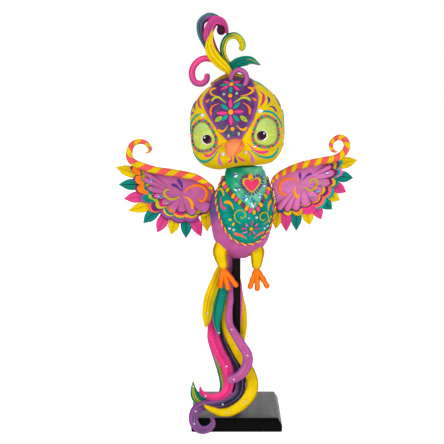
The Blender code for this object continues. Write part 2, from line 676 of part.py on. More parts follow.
def sheet(name, wing, parent, tips, notch, thick, rise, depth, colour):
    """A fluted sheet of the wing about its hub, made solid to its thickness."""
    hub = wing["hub"]
    edge = rim_of(hub, wing[tips], notch, wing["rim"])
    shape = bmesh.new()
    middle = shape.verts.new((wing["side"] * hub[0] * MM, depth, hub[1] * MM))
    rings = []
    for share in (0.5, 1.0):
        rings.append([
            shape.verts.new((
                wing["side"] * (hub[0] + share * reach * math.cos(angle)) * MM,
                depth - rise * swell * share,
                (hub[1] + share * reach * math.sin(angle)) * MM))
            for angle, reach, swell in edge
        ])
    count = len(edge)
    for k in range(count):
        after = (k + 1) % count
        shape.faces.new((middle, rings[0][k], rings[0][after]))
        for low, high in zip(rings, rings[1:]):
            shape.faces.new((low[k], high[k], high[after], low[after]))
    made = add(name, mesh_of(name, shape), parent, colour)
    solid = made.modifiers.new("thickness", "SOLIDIFY")
    solid.thickness = thick
    solid.offset = 0
    return made


def build_wing(name, wing):
    shoulder = frame(f"{name}_shoulder", wing["shoulder"], FIGURE)
    back = PEG_RADIUS
    feathers = back + SHEET_THICK / 2
    scallops = feathers - SHEET_THICK - GAP
    panel = scallops - SHEET_THICK / 2 - GAP - PANEL_SHEET_THICK / 2
    sheets = (
        ("wing_panel", "lobes", PANEL_NOTCH, PANEL_SHEET_THICK, FLUTE_RISE, panel, "orchid"),
        ("wing_scallops", "scallops", SCALLOP_NOTCH, SHEET_THICK, 0, scallops, "coral"),
        ("wing_feathers", "feathers", FEATHER_NOTCH, SHEET_THICK, 0, feathers, "teal"),
    )
    slot = peg_cutter(f"{name}_peg_slot", wing, -CUTTER_SPARE, PEG_IN_WING + GAP)
    for part, tips, notch, thick, rise, depth, colour in sheets:
        made = sheet(f"{name}_{part}", wing, shoulder, tips, notch, thick, rise, depth, colour)
        boolean(made, slot)
    front = panel - PANEL_SHEET_THICK / 2 - GAP
    route = through([(wing["side"] * x, 0, z) for x, z in wing["roll"]], 2)
    last = len(route) - 1
    radii = [ROLL_RADIUS * along(ROLL_TAPER, i / last) for i in range(len(route))]
    points = [Vector((p.x * MM, front - ROLL_RADIUS, p.z * MM)) for p in route]
    rod(f"{name}_wing_roll", points, radii, shoulder, "coral", resolution=2)
    side = wing["side"]
    add(f"{name}_wing_peg", cylinder_mesh(
        f"{name}_wing_peg", PEG_RADIUS, (-side * PEG_IN_TORSO, 0, 0), (side * PEG_IN_WING, 0, 0)),
        shoulder, "ivory")


# Legs


def build_leg(name, hip, knee, ankle, toes):
    """A thigh glued under the belly and a three-toed foot below it."""
    thigh = add(f"{name}_leg", plume_mesh(
        f"{name}_leg", (hip, knee, ankle), THIGH_WIDTHS, thick=THIGH_DEEP), FIGURE, "yellow")
    boolean(thigh, torso_surface(f"{name}_leg_seat", GAP))
    top = Vector(ankle) + Vector(FOOT_DROP)
    foot = None
    for k, toe in enumerate(toes):
        bend = top.lerp(Vector(toe), 0.5) + Vector(TOE_ARCH)
        mesh = plume_mesh(f"{name}_toe_{k}", (top, bend, toe), TOE_WIDTHS, thick=TOE_DEEP, steps=1)
        if foot is None:
            foot = add(f"{name}_foot", mesh, FIGURE, "orange")
        else:
            boolean(foot, add(f"{name}_toe_{k}", mesh, FIGURE, None), "UNION")


# Tail


def stem_mesh(name, grow):
    return plume_mesh(name, STEM_ROUTE, STEM_WIDTHS, thick=STEM_DEEP, grow=grow, sides=12)


def build_tail():
    stem = add("tail_stem", stem_mesh("tail_stem", 0), FIGURE, "orchid")
    boolean(stem, torso_surface("stem_seat", GAP))
    seat = add("plume_seat", stem_mesh("plume_seat", GAP), FIGURE, None)
    colours = {
        "tail_yellow_leaf": "yellow", "tail_teal_leaf": "teal", "tail_orchid_front": "orchid",
        "tail_pink_sweep": "pink", "tail_navy_curl": "navy", "tail_yellow_crescent": "yellow",
        "tail_lime_sweep": "lime", "tail_pink_strip": "pink", "tail_gold_strip": "yellow",
    }
    for name, (widths, route) in TAIL.items():
        plume = add(name, plume_mesh(name, route, widths), FIGURE, colours[name])
        boolean(plume, seat)


build_stand()
build_torso()
build_head()
build_crest()
for wing_name, wing_sizes in WINGS.items():
    build_wing(wing_name, wing_sizes)
for leg_name, leg_route in LEGS.items():
    build_leg(leg_name, *leg_route)
build_tail()
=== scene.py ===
"""A painted hummingbird ornament on its post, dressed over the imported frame.

Forms are made in millimetres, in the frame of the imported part: +Z is up and the bird looks along -Y.
Marks on the head are given as distance across and angle over it, marks on the torso as places across and up
from the figure's frame, and marks on a wing as distance outward and height from its shoulder.
"""

import math

import bmesh
import bpy
from mathutils import Matrix, Vector


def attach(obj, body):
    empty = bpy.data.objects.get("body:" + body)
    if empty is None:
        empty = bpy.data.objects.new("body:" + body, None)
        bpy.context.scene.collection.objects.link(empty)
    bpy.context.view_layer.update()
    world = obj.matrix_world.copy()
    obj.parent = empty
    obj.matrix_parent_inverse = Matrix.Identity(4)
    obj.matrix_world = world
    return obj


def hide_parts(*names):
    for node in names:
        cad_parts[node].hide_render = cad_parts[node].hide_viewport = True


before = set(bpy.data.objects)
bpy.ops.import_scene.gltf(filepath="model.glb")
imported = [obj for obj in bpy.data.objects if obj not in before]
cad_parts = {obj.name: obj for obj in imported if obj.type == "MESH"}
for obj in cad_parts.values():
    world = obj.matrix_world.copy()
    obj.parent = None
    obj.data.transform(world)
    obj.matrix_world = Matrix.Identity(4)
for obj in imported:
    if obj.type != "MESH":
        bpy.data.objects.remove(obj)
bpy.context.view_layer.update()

MM = 0.001

# Camera
CAMERA_PLACE = (-0.0142, -1.0102, 0.3654)
CAMERA_PITCH = 9.37  # degrees below the horizon
CAMERA_LENS = 84.9  # millimetres, on a 36 mm sensor

# Frames of the figure and the head, in millimetres
FIGURE = Vector((0, 0, 160))
HEAD = Matrix.Translation((0, -4, 295)) @ (
    Matrix.Rotation(math.radians(-5), 4, "Z") @ Matrix.Rotation(math.radians(-4.4), 4, "Y"))
NECK = Vector((6, 0, 257))
BALL_CUP = 12.4

# Torso: height and radius along an axis that leans towards +X
TORSO_OFFSET = 2.5
TORSO_LEAN = math.radians(3.4)
TORSO_PROFILE = (
    (94.5, 15.2), (87.4, 17.6), (80, 20.8), (70, 26.5), (60, 30.5), (51, 31.5), (41, 30.8), (31, 28.8), (21, 26),
    (12.3, 19.5), (5.4, 9.5),
)
PANEL_LIFT = 1.8
BIB_LIFT = 3.6

# Head
HEAD_HALF = (44.7, 41, 42.7)
CROWN_POWER = 2.1
CHEEK_POWER = 3.4
CHIN_FLAT = 3
CHIN_MIDDLE = 0.12  # across, as a share of the way from the head's middle
CHIN_SPREAD = 0.5
NECK_RECESS = 3.2
NECK_RECESS_RADIUS = 23
NECK_RECESS_EDGE = 4

# Paints, as red, green and blue out of 255
PAINTS = {
    "black": (14, 11, 10), "white": (248, 248, 244), "yellow": (228, 196, 0), "amber": (255, 166, 0),
    "orange": (255, 124, 20), "beak": (255, 140, 84), "coral": (246, 100, 90), "pink": (238, 60, 134),
    "rose": (212, 44, 112), "magenta": (196, 66, 142), "lilac": (218, 108, 186), "orchid": (192, 92, 158),
    "mauve": (152, 78, 150), "plum": (112, 40, 96), "wine": (64, 24, 50), "violet": (84, 52, 142),
    "flank": (104, 82, 148), "purple": (96, 42, 106), "slate": (88, 84, 114), "navy": (52, 46, 76),
    "teal": (0, 130, 112), "deep": (0, 96, 86), "aqua": (0, 158, 146), "mint": (124, 208, 170), "sea": (4, 158, 116),
    "green": (0, 122, 84), "lime": (180, 196, 30), "olive": (188, 176, 6), "leaf": (194, 210, 96),
    "ochre": (190, 142, 0), "sky": (96, 186, 226), "ice": (226, 240, 246), "ink": (36, 86, 150),
    "blush": (250, 200, 215), "ivory": (214, 190, 150), "shade": (20, 60, 44), "jet": (4, 4, 4),
    "gold": (238, 198, 4), "fuchsia": (226, 62, 134), "heather": (180, 92, 146), "thistle": (206, 114, 172),
    "guava": (240, 90, 92), "bloom": (222, 92, 152), "berry": (164, 60, 116), "heart": (238, 58, 114),
    "mist": (150, 190, 148), "ray": (112, 54, 122), "iris": (34, 14, 30), "toe": (255, 124, 26),
    "crease": (226, 94, 14), "lagoon": (0, 132, 122), "azure": (30, 142, 214), "rust": (228, 100, 60),
}

# Width of a brush mark along its length, as shares of its full width
EVEN = (0.45, 0.9, 1, 1, 1, 0.9, 0.45)
COMMA = (0.2, 0.32, 0.48, 0.68, 0.88, 1, 0.96, 0.5)
DROP = COMMA[::-1]
LENS = (0.15, 0.65, 0.92, 1, 0.92, 0.65, 0.15)
PETAL = (0.3, 0.7, 0.95, 1, 0.92, 0.7, 0.25)
SWELL = (0.25, 0.6, 0.85, 1, 1, 0.95, 0.8, 0.45)
FLAME = (0.75, 1, 0.95, 0.7, 0.4, 0.1)

FACE_MARKS = (
    ("aqua", 2.85, EVEN, ((-31, 24.5), (-36.3, 23.5), (-40.5, 16), (-42.3, -0.5), (-42, -13))),
    ("aqua", 2.85, EVEN, ((26, 19), (33.5, 20.5), (39, 14.5), (42.7, -2), (43.2, -19))),
    ("rose", 3, LENS, ((-30, 70), (-33.2, 60), (-32.7, 46), (-29.8, 33))),
    ("rose", 3.15, LENS, ((25.5, 55.5), (28.5, 50.5), (28.2, 38.5), (25.5, 28))),
    ("violet", 3.6, DROP, ((-36, 66), (-38, 58), (-36.8, 42))),
    ("violet", 3.3, LENS, ((-38.5, 41), (-42, 42))),
    ("violet", 3.9, DROP, ((32.6, 52), (33.4, 45), (31.8, 34))),
    ("violet", 3.6, COMMA, ((33.2, 32), (37, 33.5), (39.6, 25))),
    ("pink", 3.225, COMMA, ((-11, -19.5), (-17, -26), (-23, -33), (-27, -35.5), (-29.5, -34))),
    ("pink", 3.225, COMMA, ((11.5, -21.5), (15.5, -28), (20.5, -33.5), (26, -36), (30, -36))),
    ("aqua", 4.2, COMMA, ((-16.5, -28.5), (-22, -37), (-28, -43.5), (-33, -47.5), (-38, -48), (-41.3, -45))),
    ("aqua", 4.2, COMMA, ((14.5, -30.5), (20.5, -38.5), (26, -43.5), (32, -46.5), (36.5, -46), (39.3, -41))),
    ("lilac", 3.375, COMMA, ((-14, -30.5), (-16, -36.5), (-16, -42.5), (-14.5, -49))),
    ("lilac", 3.525, COMMA, ((11.5, -31), (14, -37), (15, -43.5), (15, -51))),
    ("pink", 2.85, COMMA, ((-4, -36.5), (-5, -42), (-8, -46))),
    ("pink", 2.85, COMMA, ((1, -35), (3.5, -41), (7.5, -45.5))),
    ("violet", 3, COMMA, ((-1, -35.5), (-1, -48))),
    ("aqua", 2.55, LENS, ((15, 94), (24, 88), (32, 76))),
)
HEAD_BACK = 172  # angle of the flower on the head's back
# Marks on the head's back, as distance across and angle, and on its sides, as places along and up
HEAD_BACK_MARKS = (
    ("lime", 3.2, COMMA, ((4, 200), (11, 204), (19, 200), (23, 190), (20, 181))),
    ("aqua", 2.8, COMMA, ((5, 212), (14, 217), (24, 214), (31, 203))),
    ("violet", 3, DROP, ((27, 184), (31, 174), (30, 162))),
    ("pink", 3, COMMA, ((4, 226), (9, 231), (16, 231))),
    ("rose", 3, COMMA, ((5, 139), (12, 134), (20, 137), (25, 147))),
    ("amber", 2.8, DROP, ((4, 128), (9, 124), (16, 124))),
    ("aqua", 2.6, LENS, ((22, 128), (29, 136), (32, 148))),
    ("violet", 2.4, COMMA, ((2.5, 236), (4, 243))),
)
HEAD_SIDE_MARKS = (
    ("aqua", 2.6, SWELL, ((10, -14), (3, -9), (1, 0), (6, 8), (14, 9), (18, 3), (15, -3), (10, -1))),
    ("pink", 3, COMMA, ((11, -18), (18, -17), (23, -11))),
    ("lime", 3, COMMA, ((4, 14), (8, 20), (16, 20))),
    ("orange", 2.8, DROP, ((24, 12), (26, 4), (25, -4))),
    ("violet", 2.6, DROP, ((-4, 13), (-3, 20), (2, 25))),
    ("lilac", 2.8, COMMA, ((6, -22), (13, -26), (21, -25))),
)
FOREHEAD_OUTLINE = (
    (-12, 107), (-17, 85), (-21, 64), (-27, 52.5), (-28.5, 42.5), (-27, 31.5), (-24, 19.5), (-20.5, 9.5), (-17, 1.5),
    (-14, -5), (-10.5, -10.5), (-7, -15.5), (5, -17), (9, -11.5), (12, -6.5), (15, -0.5), (18.5, 6.5), (20.5, 14.5),
    (22.5, 23), (23.5, 33.5), (24, 43), (22, 54.5), (19, 75), (13, 107),
)
FOREHEAD_MARKS = (
    ("amber", 3.2, DROP, ((-15, 57), (-19, 58), (-20.6, 52.5), (-17.6, 45.5), (-11.5, 39.5))),
    ("amber", 3.2, DROP, ((14.6, 54), (18.4, 53), (18.8, 47.5), (14.4, 41.5), (8, 38.5))),
    ("orange", 2.9, DROP, ((-25, 39), (-21, 41))),
    ("orange", 2.9, DROP, ((22, 34), (18.5, 37.5))),
    ("lime", 2.9, DROP, ((-19.5, 37), (-16.5, 41), (-12.5, 40), (-9, 35), (-5.5, 30.5))),
    ("lime", 2.9, DROP, ((17, 33), (13.5, 36.5), (9, 36), (5.5, 33), (1.5, 29.5))),
    ("orange", 2.5, COMMA, ((-12, 31), (-18, 29.5), (-20.5, 24.5), (-20, 16.5))),
    ("orange", 2.7, COMMA, ((10, 29.5), (14, 26), (16, 21), (15.5, 14))),
    ("amber", 2.7, DROP, ((-14.5, -2), (-11.5, -4.5), (-8, -3), (-5, 3))),
    ("amber", 2.7, DROP, ((12.5, -1.5), (9.5, -4.5), (6, -3), (3, 2))),
    ("lime", 4.2, PETAL, ((-10, 13.5), (-16.5, 8.5))),
    ("lime", 4.2, PETAL, ((7, 12.5), (13, 5.5))),
)
PETAL_RIBS = (((-11.2, 12.5), (-15.5, 9.2)), ((8, 11.4), (12.2, 6.5)))
# Flowers: middle, its radius, then petals as paint, width, root and tip
FOREHEAD_FLOWERS = (
    ((-0.5, 59), 2.3, (
        ("pink", 3.1, (-2, 62), (-8, 68.5)), ("pink", 3.1, (1, 62), (8, 65)), ("pink", 3.4, (-3, 56), (-10.5, 51.5)),
        ("pink", 3.4, (1.5, 55.5), (7, 47)), ("aqua", 2.7, (-3.5, 59.5), (-11, 60)),
        ("aqua", 2.7, (3, 58.5), (12, 55.5)), ("aqua", 3.4, (-1, 54), (-1, 44)), ("aqua", 2.9, (-0.5, 63), (1, 69)))),
    ((-1.5, 18.5), 2.6, (
        ("pink", 3.8, (-1.5, 23), (-1.5, 35)), ("pink", 3.8, (-2, 14), (-2, 2)), ("pink", 3.8, (1.5, 18.5), (10, 18)),
        ("pink", 3.8, (-5, 17.5), (-14.5, 18.5)), ("aqua", 3.8, (1, 22.5), (7, 29)),
        ("aqua", 3.8, (-4, 22), (-10.5, 29)), ("aqua", 3.8, (1, 14), (5.5, 6.5)),
        ("aqua", 3.8, (-4.5, 14.5), (-10.5, 9)))),
)
FOREHEAD_DOTS = ((-1.5, 40, 2.1), (-1, -2.5, 1.9), (-22.5, 62.5, 1.1), (20.5, 55.5, 1.1))
# Stones: place, then half width and half height
FOREHEAD_STONES = (
    ((-7.5, 43), 1.38, 1.38), ((4.5, 42.5), 1.38, 1.38), ((-5, -10.5), 1.265, 1.84), ((4.5, -9), 1.265, 1.84),
)
FACE_STONES = (
    ((-28.5, 20.5), 2.52, 2.04), ((25, 19.5), 3.12, 2.52), ((-21, -26), 1.92, 1.56), ((18.5, -26), 2.04, 1.32),
    ((-11.5, -32.5), 1.68, 2.04), ((9, -32.5), 1.44, 1.8),
)
EYE_OUTLINE = (
    (30, 6.2), (23.5, 3), (18.3, -8), (18.3, -13.3), (21.2, -17.4), (29.5, -20), (36.9, -17.5), (39.6, -10),
    (38, 0.8),
)
EYE_MIDDLE = (29, -7)
EYE_RIM = 1.12
EYE_BEADS = 46
EYE_BEAD_LIFT = 1.1
EYE_BEAD_PAINTS = ("pink", "pink", "aqua", "teal", "pink", "purple", "aqua")
PUPIL = (25.5, -10)
PUPIL_RADIUS = 5.2
BEAK_ROUTE = ((0, -34, -17), (0, -42, -17), (-1, -48, -18.7), (-3, -51.5, -22.5), (-5.4, -53, -26.8))
BEAK_HEIGHTS = (11, 12.6, 12, 9, 2)
BEAK_WIDTHS = (14, 17.6, 17.6, 11.5, 2.4)
BEAK_PAINTS = "beak beak beak rust beak beak rust beak beak beak rust beak coral coral"

BREAST_OUTLINE = (
    (-13, 84.5), (-16.2, 77.5), (-19.4, 69), (-19.8, 63.5), (-19, 58), (-17, 50), (-14.2, 41.8), (-9.5, 33),
    (-3, 25.6), (6, 21.4), (13, 21), (20, 23), (27, 28.8), (32, 36.3), (35.2, 45.5), (36.4, 54), (36.2, 61),
    (34.4, 69), (31, 77), (28, 83.5), (8, 86),
)
BREAST_MARKS = (
    ("yellow", 2.3, EVEN, ((-18.5, 71.5), (-15.5, 73.5), (-13.5, 71.5), (-12.5, 67.5))),
    ("pink", 3.1, COMMA, ((-15.5, 66.5), (-15.5, 61), (-13.5, 57), (-10.5, 56))),
    ("amber", 3.4, DROP, ((-12, 62), (-8, 62.5), (-5, 60), (-3.5, 56))),
    ("olive", 1.3, EVEN, (
        (3.5, 42.5), (-1, 45.5), (-2.5, 50.5), (0, 54.5), (4, 55.5), (7.5, 53), (7.5, 49), (4, 48), (3, 49.5))),
    ("olive", 1.3, EVEN, (
        (25.5, 40.5), (30, 44), (30, 48), (28, 52), (24.5, 52), (22, 50), (22.5, 46), (25.5, 44.5), (26, 46.5))),
    ("amber", 3.2, DROP, ((33, 62.5), (30.5, 58.5), (30, 53))),
    ("lilac", 1.9, LENS, ((35.2, 58.5), (34.3, 52.5))),
    ("yellow", 2.3, PETAL, ((-8, 46.5), (-5, 45.5))),
    ("yellow", 2.5, PETAL, ((-2.5, 43.5), (-4.5, 40))),
    ("yellow", 2.1, PETAL, ((33.5, 48), (32, 45.5))),
    ("yellow", 2.1, PETAL, ((31.5, 44.5), (31, 41.5))),
    ("coral", 3.2, DROP, ((-3, 32.5), (1.5, 31.5), (6.5, 29.5), (9, 27))),
    ("coral", 2.9, DROP, ((26.5, 33), (21.5, 31), (16, 27.5))),
)
BREAST_FLOWER = ((13.5, 37), 1.9, (
    ("magenta", 2.1, (14, 40.5), (15, 45.5)), ("lilac", 2.1, (17, 39.5), (20, 42)),
    ("magenta", 1.9, (17, 37), (22, 37)), ("lilac", 1.9, (15, 35), (17.5, 31.5)),
    ("magenta", 1.9, (13, 33.5), (11.5, 30)), ("lilac", 1.9, (10, 34.5), (5.5, 33)),
    ("magenta", 1.9, (9.5, 37.5), (3.5, 37.5)), ("lilac", 2.1, (10.5, 39.5), (8, 42.5))))
BREAST_STONES = (
    ((11.5, 48.5), 1.3, 1.9), ((18.5, 48), 1.3, 1.9), ((-7, 37.5), 1.8, 1.5), ((-3.3, 36.3), 1.9, 1.4),
    ((26.6, 36.6), 1.8, 1.5), ((29.2, 38.4), 1.5, 1.5),
)
# Marks on the torso's back, each made twice, once for each side of the flower
BACK_FLOWER = (5.5, 53)
BACK_MARKS = (
    ("lime", 2.8, COMMA, ((3, 40), (9, 38.5), (14.5, 42), (16.5, 48))),
    ("coral", 3, COMMA, ((2.5, 35.5), (8, 31.5), (14, 32), (18.5, 36.5))),
    ("amber", 2.6, DROP, ((20.5, 47), (21, 53), (18.5, 58.5))),
    ("aqua", 2.4, COMMA, ((13, 66.5), (17, 63), (20.5, 64.5))),
    ("lilac", 2.6, DROP, ((3.5, 68), (8, 67), (11, 63.5))),
    ("yellow", 2.4, COMMA, ((2, 28), (5, 23.5), (10, 23))),
)
TRIM_ROUTE = (
    (-13.4, 85.4), (-15, 81), (-16.8, 77), (-18.6, 73), (-19.8, 68.5), (-20.1, 63.5), (-19.3, 58), (-17.3, 50),
    (-14.5, 41.8), (-9.7, 33.5), (-3.2, 26.4), (6, 22), (12.5, 21.6), (20, 23.4), (26.8, 29), (32, 36.5),
    (35.2, 45.4), (36.5, 54), (36.3, 61), (34.8, 68.5), (32.4, 75), (30.9, 79.5), (29.6, 84),
)
TRIM_CLIMB = 1.6  # how much further the cord stands off beside the bib
BIB_OUTLINE = (
    (-3, 93.8), (-9, 92.6), (-11.4, 87), (-11.4, 82), (-8.2, 76.5), (-5, 72.6), (-0.5, 68.3), (6, 62), (11, 58),
    (15.5, 56), (20.6, 61.2), (24, 66.4), (28, 73.2), (29.2, 77.5), (28.8, 83), (27.6, 88.3), (24.8, 92.3),
    (22, 94.9),
)
BIB_STONES = (
    ((-1.8, 87), 3.3, 2.6), ((0.2, 74.6), 3.6, 2.5), ((24.6, 87.6), 2, 2.8), ((26.3, 77), 2.8, 1.8),
    ((22.3, 67.8), 2.6, 3), ((7.6, 66.6), 3, 3.2), ((15, 62.5), 2.4, 6),
)
BIB_BEADS = (
    (-13, 81), (-12.3, 78.4), (-10.6, 75.9), (-8.8, 73.4), (-6.2, 70.9), (-3.5, 68.5), (-0.5, 65.8), (2.6, 63.2),
    (5.8, 60.4), (9, 57.6), (12.4, 55.4), (16, 53.6), (19.6, 56.4), (22.4, 60.1), (24.6, 64), (27, 67.6),
    (29.1, 70.4), (30.1, 73.2), (30.3, 76.3),
)
BIB_BEAD_PAINTS = ("plum", "amber", "pink", "olive")  # from each end to the lowest bead
LOWEST_BEAD = 11
BIB_BEAD_RADIUS = 1.9
BIB_BEAD_HALF = 2.8  # half of its length
BIB_BEAD_LIFT = PANEL_LIFT + 1.5
HEART = (14, 78.6)
HEART_RAY_STEP = 1.9
HEART_CLEFT = 2.6  # half the width at the top that has no rays
HEART_FLAME = ((13.4, 83.4), (12.4, 86.4), (13.2, 89.6))
HEART_OUTLINE = (
    (0, -7), (-6.8, -1.2), (-8.8, 2.4), (-7.4, 5.6), (-3.6, 6), (0, 3.8), (3.6, 6), (7.4, 5.6), (8.8, 2.4),
    (6.8, -1.2),
)

# Wings: shoulder, then outline tips as distance outward and height from it. Bands are paints and their widths.
# pitch is one turn of the roll's stripes, in radii
# A wing's tip paint is the painted highlight on its flutes' ends; the plum in its creases is painted shade.
WINGS = {
    "left": {
        "side": -1, "shoulder": Vector((-26.3, 2, 220)), "hub": (27, 4), "base": "heather", "tip": "lilac",
        "pitch": 4.6,
        "lobes": (
            (63.5, 28), (64, 22), (59.5, 12.5), (53.5, 4.5), (46.5, -1), (37, -8.5), (27, -11), (15, -13),
            (0.8, -8.8)),
        "scallops": (
            (77, 32.5), (74, 22.5), (73, 11), (68.5, 2), (59.5, -9), (46, -17), (30, -23), (16, -22), (1, -13.5)),
        "bands": (
            "olive 3 deep 1 orange 5 plum 0.8", "deep 1 olive 2 teal 1.5 orange 5 plum 0.9",
            "rose 2 teal 2.5 orange 5 plum 0.9", "rose 2 deep 1 lime 2 teal 4 mauve 1.5",
            "rose 3 lime 2 plum 3 coral 1.5", "olive 2 coral 1.5 teal 2 yellow 1 mauve 2.4 plum 0.7",
            "plum 2 rose 2 amber 1.5 teal 1 mauve 2.4 plum 0.7",
            "rose 2 teal 1.5 yellow 2 coral 1 mauve 2.4 plum 0.7", "olive 4 plum 2 yellow 2"),
        "feathers": (
            ((74, 26.5), (91, 32)), ((72.5, 15), (88.5, 15)), ((68.5, 3), (83.5, 1)), ((60, -5.5), (79.5, -11)),
            ((55, -13), (65, -23)), ((45, -19), (51.5, -32.5)), ((34.5, -21.5), (38, -34.5)),
            ((23, -22), (23.5, -38)), ((14.5, -22), (8.5, -36.5)), ((3.5, -15.5), (2.5, -31.5))),
        "rim": ((-1.5, 0), (-3.1, 4), (-5.2, 9), (-2.5, 15.5), (8, 21), (19, 24), (38, 28), (57, 31)),
        "roll": (
            (-3.6, 8.5), (-2, 12.3), (1.4, 16), (7.5, 20.4), (15.5, 24), (26.5, 26.3), (40, 28.5), (53.5, 30.5),
            (64, 34), (72, 37), (76.5, 41.5), (77, 48.5), (74, 55), (67.5, 58), (61, 56.5), (57, 51.5), (58.5, 48),
            (61, 46.5)),
        "marks": (
            ("orange", 3.5, SWELL, (
                (25, 7.5), (20, 12.5), (12.5, 15), (6, 13.5), (2.5, 8), (3.5, 2.5), (7, -0.5), (11, 1.5))),
            ("olive", 2.5, EVEN, ((29, 3.5), (35, 1.5), (40.5, 2.5), (44, 6.5), (43, 10), (39, 11.5))),
            ("amber", 3.8, COMMA, ((25.5, 4), (20.5, 2), (17.5, -2), (16.5, -8))),
            ("violet", 3.6, DROP, ((31, 21), (27.5, 16), (26.5, 10))),
            ("violet", 3.6, DROP, ((37, 16), (32, 14), (27.5, 9.5)))),
        "stones": (
            ((56.5, 20), 2.09, 1.61), ((54.5, 12), 1.65, 1.035), ((48, 4), 2.31, 1.61), ((41.5, -2), 1.76, 1.15)),
    },
    "right": {
        "side": 1, "shoulder": Vector((34.5, 2, 231)), "hub": (28, 7), "base": "thistle", "tip": "bloom",
        "pitch": 3.3,
        "lobes": (
            (57, 23), (59.5, 18), (56, 6.5), (48.5, -1.5), (44.5, -10), (32.5, -16), (22, -20.5), (13.5, -21.5),
            (6, -19.8)),
        "scallops": (
            (68, 27.5), (69, 17), (65, 6.5), (60.5, -4.5), (51, -17), (36.5, -25), (24, -26.5), (14.5, -26),
            (6.5, -23.4)),
        "bands": (
            "plum 3 olive 2 plum 2 aqua 2", "plum 5 aqua 2 lilac 2", "plum 4 amber 2.5 teal 3",
            "yellow 3 plum 2.5 coral 2 aqua 2", "amber 3 plum 1.5 coral 3 aqua 2",
            "olive 2 plum 1 pink 3 magenta 1 pink 2", "yellow 2 violet 2 amber 3 olive 1.5",
            "olive 1.5 deep 1.5 yellow 3", "plum 2 teal 2 violet 1.5"),
        "feathers": (
            ((67.5, 24.5), (83, 28)), ((66.5, 12), (79, 10.5)), ((61.5, 2.5), (72.5, -3.5)),
            ((57, -6.5), (66.5, -11.5)), ((51.5, -13.5), (59, -20.5)), ((43.5, -19), (48.5, -30.5)),
            ((35, -24.5), (37.5, -36)), ((24, -25), (24.5, -41.5)), ((14, -25), (14.5, -42.5)),
            ((6.5, -24.5), (4, -40))),
        "rim": ((3.5, -12), (2.6, -6), (1, 0), (-0.4, 5), (1.5, 10), (8.5, 15), (18, 20.5), (36, 25.5), (50, 28)),
        "roll": (
            (-0.6, 5.6), (0.6, 9), (3.6, 12.6), (9.8, 16.6), (18.2, 20.6), (28, 24), (38.5, 26.5), (49, 28.5),
            (57.5, 30), (65, 33), (69.5, 37.5), (71.5, 43), (69, 49), (64, 51), (58.5, 48.5), (56, 43.5),
            (57.2, 39.3), (59.8, 37.2), (62.4, 37.2)),
        "marks": (
            ("orange", 3.3, SWELL, (
                (25.5, 6), (21, 10), (15.5, 10.5), (10, 8.5), (7, 3), (8, -2.5), (11.5, -5.5), (14, -3.5))),
            ("olive", 2.3, EVEN, (
                (29.5, 3), (34, 0.5), (38.5, -1), (42.5, 3), (43.5, 8), (40.5, 10), (37, 8.5), (36, 5.5))),
            ("amber", 3.8, COMMA, ((23, 3), (21.5, -1), (23, -5.5), (26, -8))),
            ("violet", 2.7, DROP, ((27, 16.5), (27, 12), (28, 8.5))),
            ("violet", 2.7, DROP, ((38, 15.5), (34, 14), (29.5, 9)))),
        "stones": (
            ((53, 16), 2.31, 1.61), ((49.5, 6), 1.21, 1.265), ((44, -1.5), 2.31, 1.61), ((39, -7.5), 1.54, 1.15)),
    },
}
LARGE_STONE = 1.8  # half width from which a wing's stone is blue
FEATHER_PAINTS = (("yellow", "ochre"), ("lagoon", "shade"), ("fuchsia", "berry"))  # each with its darker lines
FEATHER_WIDTH = 11.2
FEATHER_TAPER = (0.7, 0.88, 1, 0.98, 0.78, 0.42, 0.06)
FEATHER_THICK = 2.2
FEATHER_TUCK = 9  # length hidden under the scallops
FEATHER_LEVEL = 3
FEATHER_STAGGER = 0.25  # how far every second feather is behind
ROLL_RADIUS = 3.7
ROLL_DEPTH = -7.3
ROLL_TAPER = (0.32, 0.62, 0.8, 0.95, 1, 1, 1, 0.95, 0.9, 0.8, 0.7, 0.6, 0.45, 0.15)

# Legs: hip, knee and ankle, then the three toe tips, from the figure's frame
LEGS = {
    "left": (
        (-15, -9, 16.5), (-16, -12, 9), (-13.2, -14, -1.6),
        ((-15.6, -19, -21.2), (-8.4, -21, -22.8), (-0.6, -19, -20.2))),
    "right": (
        (19, -9, 14), (20, -12, 8.5), (19.3, -14, -1.8),
        ((12.9, -19, -22), (20, -21, -23.6), (29.6, -19, -21.4))),
}
THIGH_WIDTHS = (14, 15, 12.3, 9.5)
THIGH_DEEP = 12
TOE_WIDTHS = (5.6, 4.9, 5.9, 5.8, 4.7, 5.7, 5.6, 4.7, 5.4, 5.2)

